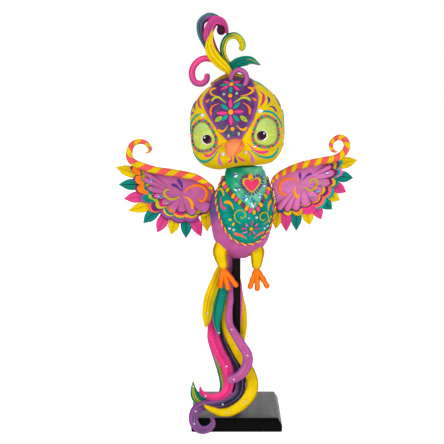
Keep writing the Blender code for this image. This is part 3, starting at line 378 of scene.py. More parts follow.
# Crest plumes: slot, layer from front to back, widths, route across and up from the head's middle (or across, back
# and up), paints from edge to edge, and the paints that follow them
CREST_LAYER = 4.4
CREST_THICK = 5
CREST_FOOT = 36  # height that the layers fan out from
CREST_FAN = 0.02  # how far a layer moves out for each millimetre above the head
CREST = {
    "crest_orchid_ring": ("orchid_paint", -3, (4, 5, 5, 5, 5, 4.6), (
        (-1, -13, 36), (-0.8, -14, 44), (2.4, -15, 49), (6.9, -16, 51), (11.8, -18, 48.6), (14, -21, 43.6),
        (13.3, -23.6, 39.6), (11.8, -25.2, 37.2)),
        "mauve heather orchid heather orchid plum", None),
    "crest_rose_curl": ("pink_paint", -1, (5, 6, 6, 6.2, 6, 5.5), (
        (-1, 36), (-3.5, 49), (-10.5, 58), (-18.5, 62.6), (-26.8, 63.8), (-33.6, 60.5), (-38.1, 54.2), (-38.6, 47.2),
        (-36, 42), (-30.1, 40.5), (-25.6, 43.4), (-24.4, 47.5)),
        "rose fuchsia fuchsia bloom fuchsia rose", "fuchsia fuchsia bloom magenta mauve berry"),
    "crest_yellow_leaf": ("yellow_paint", -2, (2, 5, 9.5, 10.8, 8.4, 1.2), (
        (0.2, 36), (-1, 46), (-5.4, 53), (-12.8, 60.6), (-18.4, 69.8), (-19.1, 77.9), (-15.2, 89.7)),
        "yellow yellow ochre yellow yellow yellow ochre yellow yellow", None),
    "crest_teal_leaf": ("teal_paint", 0, (3, 7, 9.5, 9.5, 7, 1.5), (
        (-2, 36), (-1.9, 52.5), (4.5, 57.2), (12.6, 58.8), (18.6, 58.5), (26, 54)),
        "green teal teal deep teal teal deep teal deep teal teal deep teal teal deep green",
        "green teal teal teal teal teal olive teal deep teal teal teal teal teal olive green"),
    "crest_green_curl": ("lime_paint", 1, (4, 5.5, 6, 6.2, 6, 5.8), (
        (-2, 36), (-3.8, 55.6), (-7.2, 62.9), (-8.6, 71.1), (-6, 78.9), (-1.7, 82.6), (4.4, 83.2), (9.1, 78.8),
        (10.7, 73.6), (9.5, 70.7)),
        "green deep green lime deep olive yellow olive", "green lime olive yellow olive yellow olive lime"),
    "crest_pink_ribbon": ("pink_paint", 2, (4, 7, 9.5, 9.5, 8, 3), (
        (-3, 36), (-4.4, 47.6), (-12.4, 61.3), (-18.5, 72.8), (-21.7, 84.2), (-20.1, 92.1), (-14.5, 98.7),
        (-8.6, 97.2), (-5, 91.9), (-3.5, 85.8)),
        "fuchsia magenta berry magenta berry magenta fuchsia wine", None),
    "crest_slate_loop": ("navy_paint", 3, (4, 6.5, 7.5, 7.5, 7.5), (
        (-2, 36), (-2.7, 43.5), (-10.8, 56.2), (-19.9, 67.9), (-26.1, 79.5), (-29.4, 88.8), (-28.7, 97.8),
        (-23.3, 102.4), (-18.2, 103), (-12.5, 99.5), (-8.9, 93.2), (-9.2, 89.2)),
        "slate lagoon slate navy slate slate navy wine", "slate teal slate mauve mauve mauve plum wine"),
    "crest_back_leaf": ("yellow_paint", 4.4, (3, 5, 6, 5, 3), (
        (-23.2, 38.9), (-11, 44.3), (-1.7, 45), (9.2, 42.5), (18.9, 37.3)),
        "ochre yellow ochre yellow", None),
}
# The slate loop's curled end carries a dark wine bead: painted shade on the underside of the tip.
CREST_SHADED_END = (-9.2, 89.6)  # middle of the slate loop's dark end
CREST_SHADED_END_LAYER = 2.1
CREST_SHADED_END_RADIUS = 4.5

# Tail plumes: slot, widths, route from the figure's frame, paints from edge to edge, the paints that follow them,
# the share of the length where they turn, and the shares where stones are
TAIL = {
    "tail_yellow_leaf": ("yellow_paint", (5, 8, 10.5, 11, 10.5, 8.5, 3), (
        (-14, 9, -6), (-17, 0, -10), (-19.5, -7, -17), (-23.5, -11, -26.5), (-27, -15, -37), (-28.5, -19, -47.5),
        (-29, -22, -54), (-30, -24, -59.5)),
        "olive olive ochre olive gold ochre gold gold gold", None, 1, (0.72,)),
    "tail_teal_leaf": ("teal_paint", (5, 7, 9, 10.5, 10.5, 8, 5, 2.5), (
        (-12, 8, -10), (-12.5, 1, -15), (-13, -3, -19.5), (-14, -8, -28.5), (-16.5, -12, -39), (-18.5, -16, -49.5),
        (-19, -19, -57.5), (-18, -22, -63), (-17, -24, -67.5)),
        "deep teal teal teal teal teal teal shade teal aqua", None, 1, (0.96,)),
    "tail_orchid_front": ("orchid_paint", (5.5, 5.5, 5.5, 6, 7, 7.5, 8.5, 9.5, 10, 9.5, 9), (
        (-8, 9, -6), (-6.6, 4, -13), (-6, -1, -21), (-5.9, -5, -28.5), (-5.8, -9, -37), (-6.9, -13, -44.5),
        (-7.4, -18, -52), (-6.5, -22, -59.5), (-3, -25, -65.5), (1, -28, -71), (5.5, -32, -77.5), (10, -35, -84.5),
        (10.5, -38, -91.5), (7, -42, -99), (1, -45, -104), (-6, -48, -106)),
        "mauve heather orchid magenta heather orchid heather mauve", None, 1, (0.5, 0.74, 0.97)),
    "tail_pink_sweep": ("pink_paint", (5, 9, 11, 11.5, 11.5, 11, 10.8, 9.6, 7, 5, 1.5), (
        (-12, 10, -13), (-15.5, 5, -25), (-18.5, 0, -42), (-21, -4, -56), (-23, -9, -64.5), (-22, -15, -74),
        (-19, -21, -81.5), (-16, -25, -87.5), (-11.6, -29, -94), (-8.7, -33, -100.5), (-8, -36, -107),
        (-7.6, -39, -113), (-10, -42, -120), (-16.5, -44, -124), (-24.5, -45, -124.5), (-31, -45, -122),
        (-34.5, -43, -118.5), (-35, -41, -115.5)),
        "rose magenta rose rose pink pink pink", None, 1, (0.5, 0.875)),
    # Up to turn_at the navy curl's paints, iris among them, are darker than those after it: painted shadow from the
    # orchid front plume.
    "tail_navy_curl": ("navy_paint", (5, 9, 10, 10, 9.5, 9.5, 9.5, 9, 7, 3), (
        (-10, 12.5, -13), (-12, 8, -28), (-14.5, 1, -48), (-15.5, -6, -65), (-13.5, -11, -76), (-10, -16, -83.5),
        (-6, -20, -90.5), (-1, -25, -98.5), (3, -30, -107.5), (4, -34, -114.5), (2, -38, -122.5), (-4.5, -41, -128),
        (-13.5, -43, -131.5), (-23.5, -44, -132.5), (-32.5, -45, -133), (-39.5, -47, -137), (-41.5, -49, -144.5),
        (-39.5, -50.5, -151), (-34, -51, -155), (-27.5, -51, -154), (-23.5, -50, -150.5), (-23, -49, -146.5),
        (-24.5, -48, -144.5)),
        "navy iris slate navy iris navy navy slate mauve", "slate mauve purple mauve slate slate mauve mauve purple",
        0.6, (0.545, 0.68, 0.755)),
    "tail_yellow_crescent": ("yellow_paint", (5, 6, 6.5, 7, 8, 9, 10.5, 12, 13, 12.2, 9.6, 6, 1.5), (
        (-8, 16, -12), (-8, 11, -17), (-8, 6, -23), (-8, 2, -31), (-9, -2, -41.5), (-11, -5, -52), (-11, -9, -63),
        (-8.5, -12, -71), (-4.5, -16, -78.5), (-0.5, -20, -84.5), (4.5, -24, -92), (11.5, -28, -103),
        (15, -31, -113.5), (14, -34, -122), (9, -37, -129.5), (2, -39, -135.5), (-7, -41, -140), (-16, -43, -140),
        (-23.5, -46, -136.5), (-28.5, -49, -133), (-31, -50.5, -130.5)),
        "ochre yellow gold gold gold gold gold yellow ochre", None, 1, (0.713, 0.812)),
    "tail_lime_sweep": ("lime_paint", (4, 6, 6, 6, 6, 6, 6.5, 8, 10, 8.5, 1.5), (
        (-13, 17, -9), (-19, 14, -28), (-23, 7, -52), (-26, 0, -74), (-24.5, -6, -83), (-22, -12, -89),
        (-19.5, -17, -95.5), (-16, -22, -105.5), (-13.5, -27, -116), (-14, -30, -123.5), (-18, -33, -130),
        (-26, -35, -133), (-33.5, -36, -132.6), (-39.2, -35, -128.4), (-41.8, -32, -121.5), (-42.3, -29, -114.5)),
        "mauve lilac orchid", "green green lime green olive green teal green", 0.38, (0.966,)),
    "tail_pink_strip": ("pink_paint", (4, 5, 5, 5, 3), (
        (-4, 12.6, -10), (0, 10, -15), (2.8, 7.6, -24), (3.5, 7, -32), (3.7, 7, -48), (3.4, 7, -57), (3, 7, -68)),
        "lilac pink pink lilac", None, 1, ()),
    "tail_gold_strip": ("yellow_paint", (4, 5, 6, 7.5, 7.5, 5), (
        (-4, 17, -11), (1, 14, -22), (4, 12, -34), (5, 11, -42), (6.5, 10.6, -50), (7.3, 10.6, -61), (7.3, 10.6, -72),
        (6.5, 10.6, -83)),
        "yellow gold gold gold", None, 1, ()),
}
STEM_ROUTE = ((-3, 10, 20), (-5, 10.5, 6), (-8, 12.8, -8), (-8.5, 12.8, -12))
STEM_WIDTHS = (8, 10, 15, 12)
STEM_DEEP = 15
PLUME_DEEP = 5.4


# Finishes


def clamp(value, most=1):
    """The value, kept between 0 and most."""
    return min(max(value, 0), most)


def linear(paint):
    """The colour of a named paint as the shader takes it. A colour is passed on as it is."""
    if not isinstance(paint, str):
        return paint
    return tuple(((c / 255 + 0.055) / 1.055) ** 2.4 if c > 10 else c / 3294.6 for c in PAINTS[paint])


def mix(a, b, share):
    """A colour between two paints or colours."""
    return tuple(p + (q - p) * share for p, q in zip(linear(a), linear(b)))


def feed(tree, node, inputs):
    """Set a node's inputs to values, or link them to other nodes' outputs."""
    for key, value in inputs.items():
        if isinstance(value, bpy.types.NodeSocket):
            tree.links.new(value, node.inputs[key])
        else:
            node.inputs[key].default_value = value


def add(tree, kind, inputs=None, operation=None):
    """A new node with its inputs fed."""
    node = tree.nodes.new(kind)
    if operation:
        node.operation = operation
    feed(tree, node, inputs or {})
    return node


def material(name):
    """A new material and its node tree."""
    made = bpy.data.materials.new(name)
    made.use_nodes = True
    return made, made.node_tree


def finish_of(name, roughness, mottle=0.1, grain=0.2, grain_size=650, stretch=(1, 1, 1), shine=0.06):
    """A finish that takes its colour from the mesh, clouded and grained by noise."""
    made, tree = material(name)
    colour = add(tree, "ShaderNodeAttribute")
    colour.attribute_name = "Paint"
    place = add(tree, "ShaderNodeTexCoord")
    spread = add(tree, "ShaderNodeMapping", {"Scale": stretch, "Vector": place.outputs["Object"]})

    def noise(scale, low, high):
        cloud = add(tree, "ShaderNodeTexNoise", {"Scale": scale, "Detail": 3, "Vector": spread.outputs["Vector"]})
        level = add(tree, "ShaderNodeMapRange", {
            "From Min": 0.3, "From Max": 0.7, "To Min": low, "To Max": high, "Value": cloud.outputs["Fac"]})
        return cloud.outputs["Fac"], level.outputs["Result"]

    _, broad = noise(85, 1 - mottle, 1 + mottle)
    speck, fine = noise(grain_size, 1 - mottle * 0.6, 1 + mottle * 0.6)
    _, rough = noise(140, roughness - 0.06, roughness + 0.1)
    both = add(tree, "ShaderNodeMath", {0: broad, 1: fine}, "MULTIPLY")
    tone = add(tree, "ShaderNodeVectorMath", {0: colour.outputs["Color"], "Scale": both.outputs["Value"]}, "SCALE")
    bump = add(tree, "ShaderNodeBump", {"Strength": grain, "Distance": 0.5 * MM, "Height": speck})
    feed(tree, tree.nodes["Principled BSDF"], {
        "Base Color": tone.outputs["Vector"], "Roughness": rough, "Normal": bump.outputs["Normal"],
        "Specular IOR Level": shine})
    return made


LACQUERED = {"mottle": 0.3, "grain_size": 240, "stretch": (1, 0.15, 0.15)}
PAINT = finish_of("painted_wood", 0.5, mottle=0.12, grain=0.32, grain_size=520, stretch=(1, 1, 1.9))
BRUSHED = finish_of("brushed_paint", 0.42, mottle=0.06, grain=0.15, grain_size=900)
PLUME = finish_of("plume_paint", 0.46, mottle=0.12, grain=0.3, grain_size=420)
# Two copies of one black lacquer: a lit copy that reflects fully, for the plinth's top, and a shaded copy that hardly
# reflects, for its sides and the post, so the top shows lighter and the sides stay dark.
LIT_TOP_LACQUER = finish_of("lit_top_lacquer", 0.3, grain=0.1, shine=1, **LACQUERED)
SHADED_LACQUER = finish_of("shaded_lacquer", 0.3, grain=0.08, shine=0.04, **LACQUERED)
GLOSS = finish_of("pupil_gloss", 0.16, grain=0.02, shine=0.08)
BEAD = finish_of("bead_glaze", 0.25, mottle=0.08, grain=0.05, shine=0.3)
STONE = finish_of("cut_stone", 0.12, mottle=0.08, grain=0.02, shine=0.4)
CORD = finish_of("twisted_cord", 0.62, mottle=0.14, grain=0.4, grain_size=1500)


# Forms


class Form:
    """The points, paints and faces of one piece."""

    def __init__(self):
        self.points = []
        self.hues = []
        self.faces = []
        self.own = []  # a face's own paint, or None to take its points' paints

    def spot(self, point, hue):
        """Add a point and give its number."""
        self.points.append(Vector(point))
        self.hues.append(linear(hue))
        return len(self.points) - 1

    def face(self, corners, hue=None):
        """Add a face by its corners' numbers."""
        self.faces.append(tuple(corners))
        self.own.append(linear(hue))

    def loft(self, rows, ring=True, own=None):
        """Faces between rows of points, with an end face at each end if the rows are rings.

        own gives a face's paint by row and place.
        """
        for i, (low, high) in enumerate(zip(rows, rows[1:])):
            for k in range(len(low) - (not ring)):
                n = (k + 1) % len(low)
                self.face((low[k], low[n], high[n], high[k]), own(i, k) if own else None)
        if ring:
            self.face(rows[0][::-1], own(0, 0) if own else None)
            self.face(rows[-1], own(len(rows) - 2, 0) if own else None)


SHARP_ANGLE = math.radians(50)


def piece(name, form, body, finish, smooth=True):
    """An object of this form that rides on a body and takes a finish."""
    mesh = bpy.data.meshes.new(name)
    mesh.from_pydata([p * MM for p in form.points], [], form.faces)
    colours = mesh.color_attributes.new("Paint", "FLOAT_COLOR", "CORNER")
    values = []
    for face, own in zip(form.faces, form.own):
        for corner in face:
            values.extend((*(own or form.hues[corner]), 1))
    colours.data.foreach_set("color", values)
    work = bmesh.new()
    work.from_mesh(mesh)
    bmesh.ops.recalc_face_normals(work, faces=work.faces)
    work.to_mesh(mesh)
    work.free()
    if smooth:
        mesh.shade_smooth()
        mesh.set_sharp_from_angle(angle=SHARP_ANGLE)
    mesh.materials.append(finish)
    made = bpy.data.objects.new(name, mesh)
    bpy.context.scene.collection.objects.link(made)
    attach(made, body)
    return made


def dress(node, form, body, finish):
    """A piece that is shown in place of a CAD node."""
    made = piece(f"{node}_shape", form, body, finish)
    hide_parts(node)
    return made


def through(points, steps, closed=False):
    """Points on a smooth curve through the given ones, steps to each stretch."""
    points = [Vector(p) for p in points]
    count = len(points)
    found = []
    for i in range(count if closed else count - 1):
        if closed:
            a, b, c, d = (points[(i + k) % count] for k in (-1, 0, 1, 2))
        else:
            b, c = points[i], points[i + 1]
            a = points[i - 1] if i else 2 * b - c
            d = points[i + 2] if i + 2 < count else 2 * c - b
        for k in range(steps):
            t = k / steps
            found.append(0.5 * (2 * b + (c - a) * t + (2 * a - 5 * b + 4 * c - d) * t * t
                                + (3 * b - a - 3 * c + d) * t ** 3))
    if not closed:
        found.append(points[-1])
    return found


def heading(path, i):
    """The way along a path at one of its points."""
    return path[min(i + 1, len(path) - 1)] - path[max(i - 1, 0)]


def along(values, share):
    """The value at this share of an evenly spaced list of numbers."""
    place = clamp(share) * (len(values) - 1)
    low = min(int(place), len(values) - 2)
    return values[low] + (values[low + 1] - values[low]) * (place - low)


def turns(count):
    """Angles evenly round a circle."""
    return [2 * math.pi * k / count for k in range(count)]


def from_figure(points):
    """Points from the figure's frame, in the part's frame."""
    return [FIGURE + Vector(p) for p in points]


# Surfaces that marks are laid on

SEARCH_STEPS = 26
SEARCH_FAR = 100.0  # beyond the head in every direction
SEAT_STEP = 0.4  # distance to the points that a normal is taken from


def head_reach(direction, lift):
    """How far the head's surface is from its middle in this direction."""
    blend = clamp(0.5 - direction.z * 1.5)
    power = CROWN_POWER + (CHEEK_POWER - CROWN_POWER) * blend
    flat = CHIN_FLAT * blend * max(1 - ((direction.x - CHIN_MIDDLE) / CHIN_SPREAD) ** 2, 0)
    halves = (HEAD_HALF[0], HEAD_HALF[1], HEAD_HALF[2] - flat)
    return sum(abs(d / (half + lift)) ** power for d, half in zip(direction, halves)) ** (-1 / power)


def edge_of(point_at, lift):
    """The far end of the stretch of points that lie inside the head grown by lift."""
    near, far = 0.0, SEARCH_FAR
    for _ in range(SEARCH_STEPS):
        middle = (near + far) / 2
        point = point_at(middle)
        if point.length < head_reach(point.normalized(), lift):
            near = middle
        else:
            far = middle
    return point_at(near)


def over_head(spot, lift):
    """The point over the head at this distance across and this angle up from its front."""
    turn = math.radians(spot[1])
    return HEAD @ edge_of(lambda r: Vector((spot[0], -r * math.cos(turn), r * math.sin(turn))), lift)


def on_face(spot, lift):
    """The point on the head's front at this place across and up."""
    return HEAD @ edge_of(lambda r: Vector((spot[0], -r, spot[1])), lift)


TORSO_CURVE = through(TORSO_PROFILE, 4)


def torso_radius(height):
    """The torso's radius at this height along its axis."""
    for high, low in zip(TORSO_CURVE, TORSO_CURVE[1:]):
        if low[0] <= height <= high[0]:
            return low[1] + (high[1] - low[1]) * (height - low[0]) / (high[0] - low[0])
    return TORSO_CURVE[0][1] if height > TORSO_CURVE[0][0] else TORSO_CURVE[-1][1]


def on_torso(spot, lift):
    """The point on the torso's front at this place across and up."""
    across = spot[0] - TORSO_OFFSET
    local_x = across * math.cos(TORSO_LEAN) - spot[1] * math.sin(TORSO_LEAN)
    local_z = across * math.sin(TORSO_LEAN) + spot[1] * math.cos(TORSO_LEAN)
    reach = torso_radius(local_z) + lift
    return FIGURE + Vector((spot[0], -math.sqrt(max(reach ** 2 - local_x ** 2, 0)), spot[1]))


def behind_torso(spot, lift):
    """The point on the torso's back at this place across and up."""
    front = on_torso(spot, lift)
    return Vector((front.x, -front.y, front.z))


def seat(lay, spot, lift):
    """A surface's point and outward normal at a spot."""
    x, y = spot[0], spot[1]
    point = lay(spot, lift)
    a = lay((x + SEAT_STEP, y), lift) - lay((x - SEAT_STEP, y), lift)
    b = lay((x, y + SEAT_STEP), lift) - lay((x, y - SEAT_STEP), lift)
    normal = a.cross(b).normalized()
    if normal.dot(lay(spot, lift + 1) - point) < 0:
        normal.negate()
    return point, normal


# Brush marks, stones and beads

# Across and up, in widths and heights of the mark
MARK_SECTION = ((-0.5, -0.3), (-0.42, 0.45), (-0.22, 0.9), (0, 1), (0.22, 0.9), (0.42, 0.45), (0.5, -0.3))
TALL_MARK = 0.8  # height of the taller marks
DOME_RINGS = ((1, -0.2), (0.9, 0.4), (0.6, 0.8), (0.25, 1))
STONE_RINGS = ((1, -0.3), (1, 0.35), (0.5, 1))
BEAD_RINGS = 8
OUTLINE_STEPS = 4

# Facets show the stones' own blue, green and pink, with white and ice facets as painted glints and ink facets as
# painted shade.
STONE_FACETS = "ink azure ice white azure blush teal sky".split()
CLEAR_FACETS = "ice white sky blush white mint ice blush".split()
PALE_FACETS = "mist ice mist mint mist mist mint mist".split()
BLUE_FACETS = "azure ink white azure ink sky azure lagoon".split()
GREEN_FACETS = "green mist teal mint green mist teal mint".split()


def mark(form, hue, width, taper, route, lay, lift, rise=0.55, steps=5):
    """A raised brush mark along a route on a surface."""
    seats = [seat(lay, spot, lift) for spot in through(route, steps if len(route) > 2 else 2 * steps)]
    points = [point for point, _ in seats]
    border = mix(hue, "black", 0.12)
    rows = []
    for i, (point, normal) in enumerate(seats):
        side = normal.cross(heading(points, i)).normalized()
        share = along(taper, i / (len(seats) - 1))
        rows.append([
            form.spot(point + side * across * width * share + normal * up * rise * (0.5 + 0.5 * share),
                      border if abs(across) > 0.4 else hue)
            for across, up in MARK_SECTION
        ])
    form.loft(rows)


def dome(form, hue, spot, radius, lay, lift, rise=0.9):
    """A round raised dot."""
    point, normal = seat(lay, spot, lift)
    side = normal.orthogonal().normalized()
    other = normal.cross(side)
    form.loft([
        [form.spot(point + radius * share * (side * math.cos(t) + other * math.sin(t)) + normal * rise * up, hue)
         for t in turns(14)]
        for share, up in DOME_RINGS
    ])


def flower(form, middle, radius, petals, lay, lift):
    """A dot with separate petals round it."""
    for hue, width, root, tip in petals:
        mark(form, hue, width, PETAL, (root, tip), lay, lift, TALL_MARK)
    dome(form, "amber", middle, radius, lay, lift, rise=1.3)


def rosette(form, middle, hues, inner, outer, width, lay, tall=1.0):
    """A flower of even petals round a dot. tall stretches it where heights are angles."""
    petals = []
    for hue, turn in zip(hues, turns(len(hues))):
        way = Vector((math.sin(turn), math.cos(turn) * tall))
        petals.append((hue, width, Vector(middle) + way * inner, Vector(middle) + way * outer))
    flower(form, middle, inner * 0.8, petals, lay, 0)


def stone(form, spot, half_width, half_height, lay, lift, rise=1.3, facets=STONE_FACETS, point_power=1.45):
    """A faceted stone with a flat table, pointed at its ends where the power is low."""
    point, normal = seat(lay, spot, lift)
    up = (Vector((0, 0, 1)) - normal * normal.z).normalized()
    side = up.cross(normal)
    rows = []
    for share, height in STONE_RINGS:
        row = []
        for turn in turns(8):
            c, s = math.cos(turn), math.sin(turn)
            reach = share * (abs(c) ** point_power + abs(s) ** point_power) ** (-1 / point_power)
            way = side * half_width * c + up * half_height * s
            row.append(form.spot(point + reach * way + normal * rise * height, "ice"))
        rows.append(row)
    first = int(abs(3 * spot[0] + spot[1]))
    form.loft(rows, own=lambda i, k: facets[(3 * i + k + first) % len(facets)])


def bead(form, hue, point, axis, radius, half_length):
    """A bead, round about its axis."""
    axis = axis.normalized()
    side = axis.orthogonal().normalized()
    other = axis.cross(side)
    rows = []
    for k in range(1, BEAD_RINGS):
        turn = math.pi * k / BEAD_RINGS
        rows.append([
            form.spot(point - axis * half_length * math.cos(turn)
                      + radius * math.sin(turn) * (side * math.cos(t) + other * math.sin(t)), hue)
            for t in turns(12)
        ])
    form.loft(rows)


def patch(form, outline, middle, lay, rings):
    """A panel on a surface. Each ring gives its share of the way to the outline, its lift and its paint."""
    edge = through(outline, OUTLINE_STEPS, closed=True)
    middle = Vector(middle)
    form.loft([
        [form.spot(lay(place, lift), hue(place) if callable(hue) else hue)
         for place in (middle.lerp(spot, share) for spot in edge)]
        for share, lift, hue in rings
    ])


PLUME_SIDES = 32
PLUME_CAP = ((0.8, 0.25), (0.72, 0.5), (0.55, 0.74), (0.3, 0.92))  # rings of a round end: how far out and how large
PAINT_BLEND = 0.14  # share of a plume's length over which its paints change


def half_depth(thick, width, widths):
    """Half the depth of a plume where it has this width."""
    return thick / 2 * (0.4 + 0.6 * width / max(widths))


def plume(form, route, widths, thick, paints, across=(0, 1, 0), place=None, steps=6, groove=0.12, power=2.0,
          late=None, turn_at=1.0, deeps=None):
    """A flattened tapering plume with round ends, its paints side by side along it.

    Late paints follow from turn_at on. deeps gives the depth along it, where it doesn't follow the width.
    """
    if isinstance(paints, str):
        paints = paints.split()
    late = late.split() if late else paints
    path = through(route, steps)
    last = len(path) - 1
    rows = []
    for i, point in enumerate(path):
        tangent = heading(path, i).normalized()
        side = tangent.cross(Vector(across)).normalized()
        depth = side.cross(tangent)
        width = along(widths, i / last)
        half = width / 2
        deep = along(deeps, i / last) / 2 if deeps else half_depth(thick, width, widths)
        sections = [(point, 1.0)]
        if i == 0:
            sections = [(point - tangent * half * out, share) for out, share in PLUME_CAP] + sections
        if i == last:
            sections += [(point + tangent * half * out, share) for out, share in reversed(PLUME_CAP)]
        for centre, share in sections:
            row = []
            for k in range(PLUME_SIDES):
                turn = 2 * math.pi * (k + 0.5) / PLUME_SIDES
                c, s = math.cos(turn), math.sin(turn)
                reach = (abs(c) ** power + abs(s) ** power) ** (-1 / power)
                cut = 1 - groove * abs(math.cos(math.pi * len(paints) * (1 - c) / 2)) ** 6
                spot = centre + share * (side * half * c * reach + depth * deep * s * reach * cut)
                row.append(form.spot(place @ spot if place else spot, paints[0]))
            rows.append(row)

    def own(i, k):
        c = math.cos(2 * math.pi * (k + 1) / PLUME_SIDES)
        found = [used[min(int((1 - c) / 2 * len(used)), len(used) - 1)] for used in (paints, late)]
        return mix(*found, clamp((i / len(rows) - turn_at) / PAINT_BLEND + 0.5))

    form.loft(rows, own=own)


# Stand


def slab(form, half, low, high, bevel, paint, sides=8, batter=0.0, shoulder=1.4):
    """A square block with rounded edges, its sides upright to the shoulder and leaning in by the batter above it."""
    rows = []
    for inset, height in (
            (0.6, low), (0, low + 0.6), (0, low + shoulder), (batter, high - bevel),
            (batter + bevel * 0.13, high - bevel * 0.5), (batter + bevel * 0.5, high - bevel * 0.13),
            (batter + bevel, high), (half * 0.5, high)):
        radius = min(bevel, half - inset - 0.2) if half - inset > bevel else half - inset
        core = half - inset - radius
        row = []
        for corner in range(4):
            middle = math.pi / 2 * (corner + 0.5)
            for k in range(sides + 1):
                turn = math.pi / 2 * (corner + k / sides)
                row.append(form.spot((
                    math.copysign(core, math.cos(middle)) + radius * math.cos(turn),
                    math.copysign(core, math.sin(middle)) + radius * math.sin(turn), height), paint))
        rows.append(row)
    form.loft(rows)


form = Form()
slab(form, 44, 0, 13, 1.4, "jet", batter=3.2, shoulder=6.2)
plinth = dress("base_plinth", form, "stand", SHADED_LACQUER)
# The plinth's top faces take the lit copy of the lacquer, the rest the shaded copy.
plinth.data.materials.append(LIT_TOP_LACQUER)
for face in plinth.data.polygons:
    face.material_index = int(face.normal.z > 0.9)
form = Form()
slab(form, 4, 4, 194, 0.7, "black", sides=3)
dress("stand_post", form, "stand", SHADED_LACQUER)


# Torso

ROUND = 64
UPRIGHT = Matrix.Translation(FIGURE)
LEANING = UPRIGHT @ Matrix.Translation((TORSO_OFFSET, 0, 0)) @ Matrix.Rotation(TORSO_LEAN, 4, "Y")
# Rings as radius, height and paint
# The shade ring at the neck hole's mouth and the sea green inside the collar, darker than its mint outside, are
# painted shade under the head.
NECK_CUP = ((4.3, 71, "ivory"), (4.3, 85.4, "ivory"), (6.2, 86.3, "shade"))
COLLAR = (
    (12.6, 87.6, "sea"), (14, 92.4, "sea"), (14.5, 93.6, "mint"), (15.2, 93.8, "mint"), (16, 93, "mint"),
    (16.8, 90, "mint"), (18.2, 86, "mint"),
)
COLLAR_FOOT = 82
BELLY_END = (7.2, 4, "orchid")
# The plum ring at the mouth of the post's hole is painted shade.
PLUG_HOLE = ((4.3, 3.4, "plum"), (4.3, 34.3, "ivory"))


def ring_of(form, frame_of, radius, height, hue, middle=(0, 0), square=False):
    """A level ring of points, round or square."""
    row = []
    for turn in turns(ROUND):
        c, s = math.cos(turn), math.sin(turn)
        reach = radius / max(abs(c), abs(s)) if square else radius
        point = Vector((middle[0] + reach * c, middle[1] + reach * s, height))
        row.append(form.spot(frame_of @ point, hue(height, turn) if callable(hue) else hue))
    return row


def torso_hue(height, turn):
    """Orchid below, mint above, and violet between them, with wavy borders."""
    upper = clamp((height - 75 - 1.6 * math.cos(10 * turn)) / 2)
    lower = clamp((height - 37 - 2.5 * math.cos(8 * turn)) / 10)
    return mix(mix("orchid", "flank", lower), "mint", upper)


form = Form()
rows = [ring_of(form, UPRIGHT, *ring, middle=NECK.xy) for ring in NECK_CUP]
rows += [ring_of(form, LEANING, *ring) for ring in COLLAR]
rows += [ring_of(form, LEANING, radius, height, torso_hue) for height, radius in TORSO_CURVE if height < COLLAR_FOOT]
rows.append(ring_of(form, LEANING, *BELLY_END))
rows += [ring_of(form, UPRIGHT, *ring, square=True) for ring in PLUG_HOLE]
form.loft(rows)
dress("torso", form, "figure", PAINT)


def speckle(point, light, dark, share=0.5):
    """A paint that wavers between two others over the surface."""
    wave = math.sin(point[0] * 2.1 + 1.3 * math.sin(point[1] * 1.7)) * math.sin(point[1] * 2.4 + point[0] * 0.6)
    return mix(dark, light, clamp(share + 0.5 * wave))


def light_teal(spot):
    return speckle(spot, "aqua", "teal")


def dark_teal(spot):
    return speckle(spot, "teal", "deep")


form = Form()
patch(form, BREAST_OUTLINE, (8, 52), on_torso, (
    (0.03, PANEL_LIFT, "aqua"), (0.25, PANEL_LIFT, light_teal), (0.5, PANEL_LIFT, dark_teal),
    (0.75, PANEL_LIFT, light_teal), (0.92, PANEL_LIFT, "teal"), (1, PANEL_LIFT - 0.4, "deep"), (0.94, -0.4, "deep")))
dress("breast_panel", form, "figure", PAINT)

form = Form()
for given in BREAST_MARKS:
    mark(form, *given, on_torso, PANEL_LIFT)
flower(form, *BREAST_FLOWER, on_torso, PANEL_LIFT)
piece("breast_marks", form, "figure", BRUSHED)

form = Form()
rosette(form, BACK_FLOWER, ("pink", "aqua") * 4, 2.8, 10.5, 3.6, behind_torso)
for hue, width, taper, route in BACK_MARKS:
    for side in (-1, 1):
        mark(form, hue, width, taper, [(BACK_FLOWER[0] + side * x, z) for x, z in route], behind_torso, 0, rise=0.7)
for k in range(11):
    dome(form, "amber" if k % 2 else "pink", (7 + 3.6 * (k - 5), 71.5), 1.2, behind_torso, 0)
piece("back_marks", form, "figure", BRUSHED)


def twist(form, seats, radius, strand, pitch, hues):
    """A cord of two strands round one another, along seated points."""
    points = [point for point, _ in seats]
    length = 0.0
    rows = ([], [])
    for i, (point, normal) in enumerate(seats):
        if i:
            length += (point - points[i - 1]).length
        side = normal.cross(heading(points, i).normalized()).normalized()
        for s in (0, 1):
            turn = 2 * math.pi * length / pitch + math.pi * s
            heart = point + radius * (side * math.cos(turn) + normal * math.sin(turn))
            rows[s].append([
                form.spot(heart + strand * (side * math.cos(t) + normal * math.sin(t)), hues[s]) for t in turns(10)
            ])
    for strand_rows in rows:
        form.loft(strand_rows)


def trim_lift(spot):
    """The cord's distance from the torso, larger beside the bib."""
    return PANEL_LIFT + 0.5 + TRIM_CLIMB * clamp((spot[1] - 72) / 10)


form = Form()
twist(form, [seat(on_torso, spot, trim_lift(spot)) for spot in through(TRIM_ROUTE, 12)],
      radius=0.5, strand=0.68, pitch=7.5, hues=("rose", "yellow"))
dress("breast_trim", form, "figure", CORD)


def bib_hue(spot):
    """Sea green on the bib's left and mint on its right, in large brushed patches."""
    wave = math.sin(spot[0] * 0.42 + 1.1 * math.sin(spot[1] * 0.3)) * math.sin(spot[1] * 0.37 + 0.8)
    wave += 0.4 * math.sin(spot[0] * 1.3 + spot[1] * 0.9)
    return mix("sea", "mint", clamp(0.3 + (spot[0] - 8) / 38 + 0.4 * wave, 0.78))


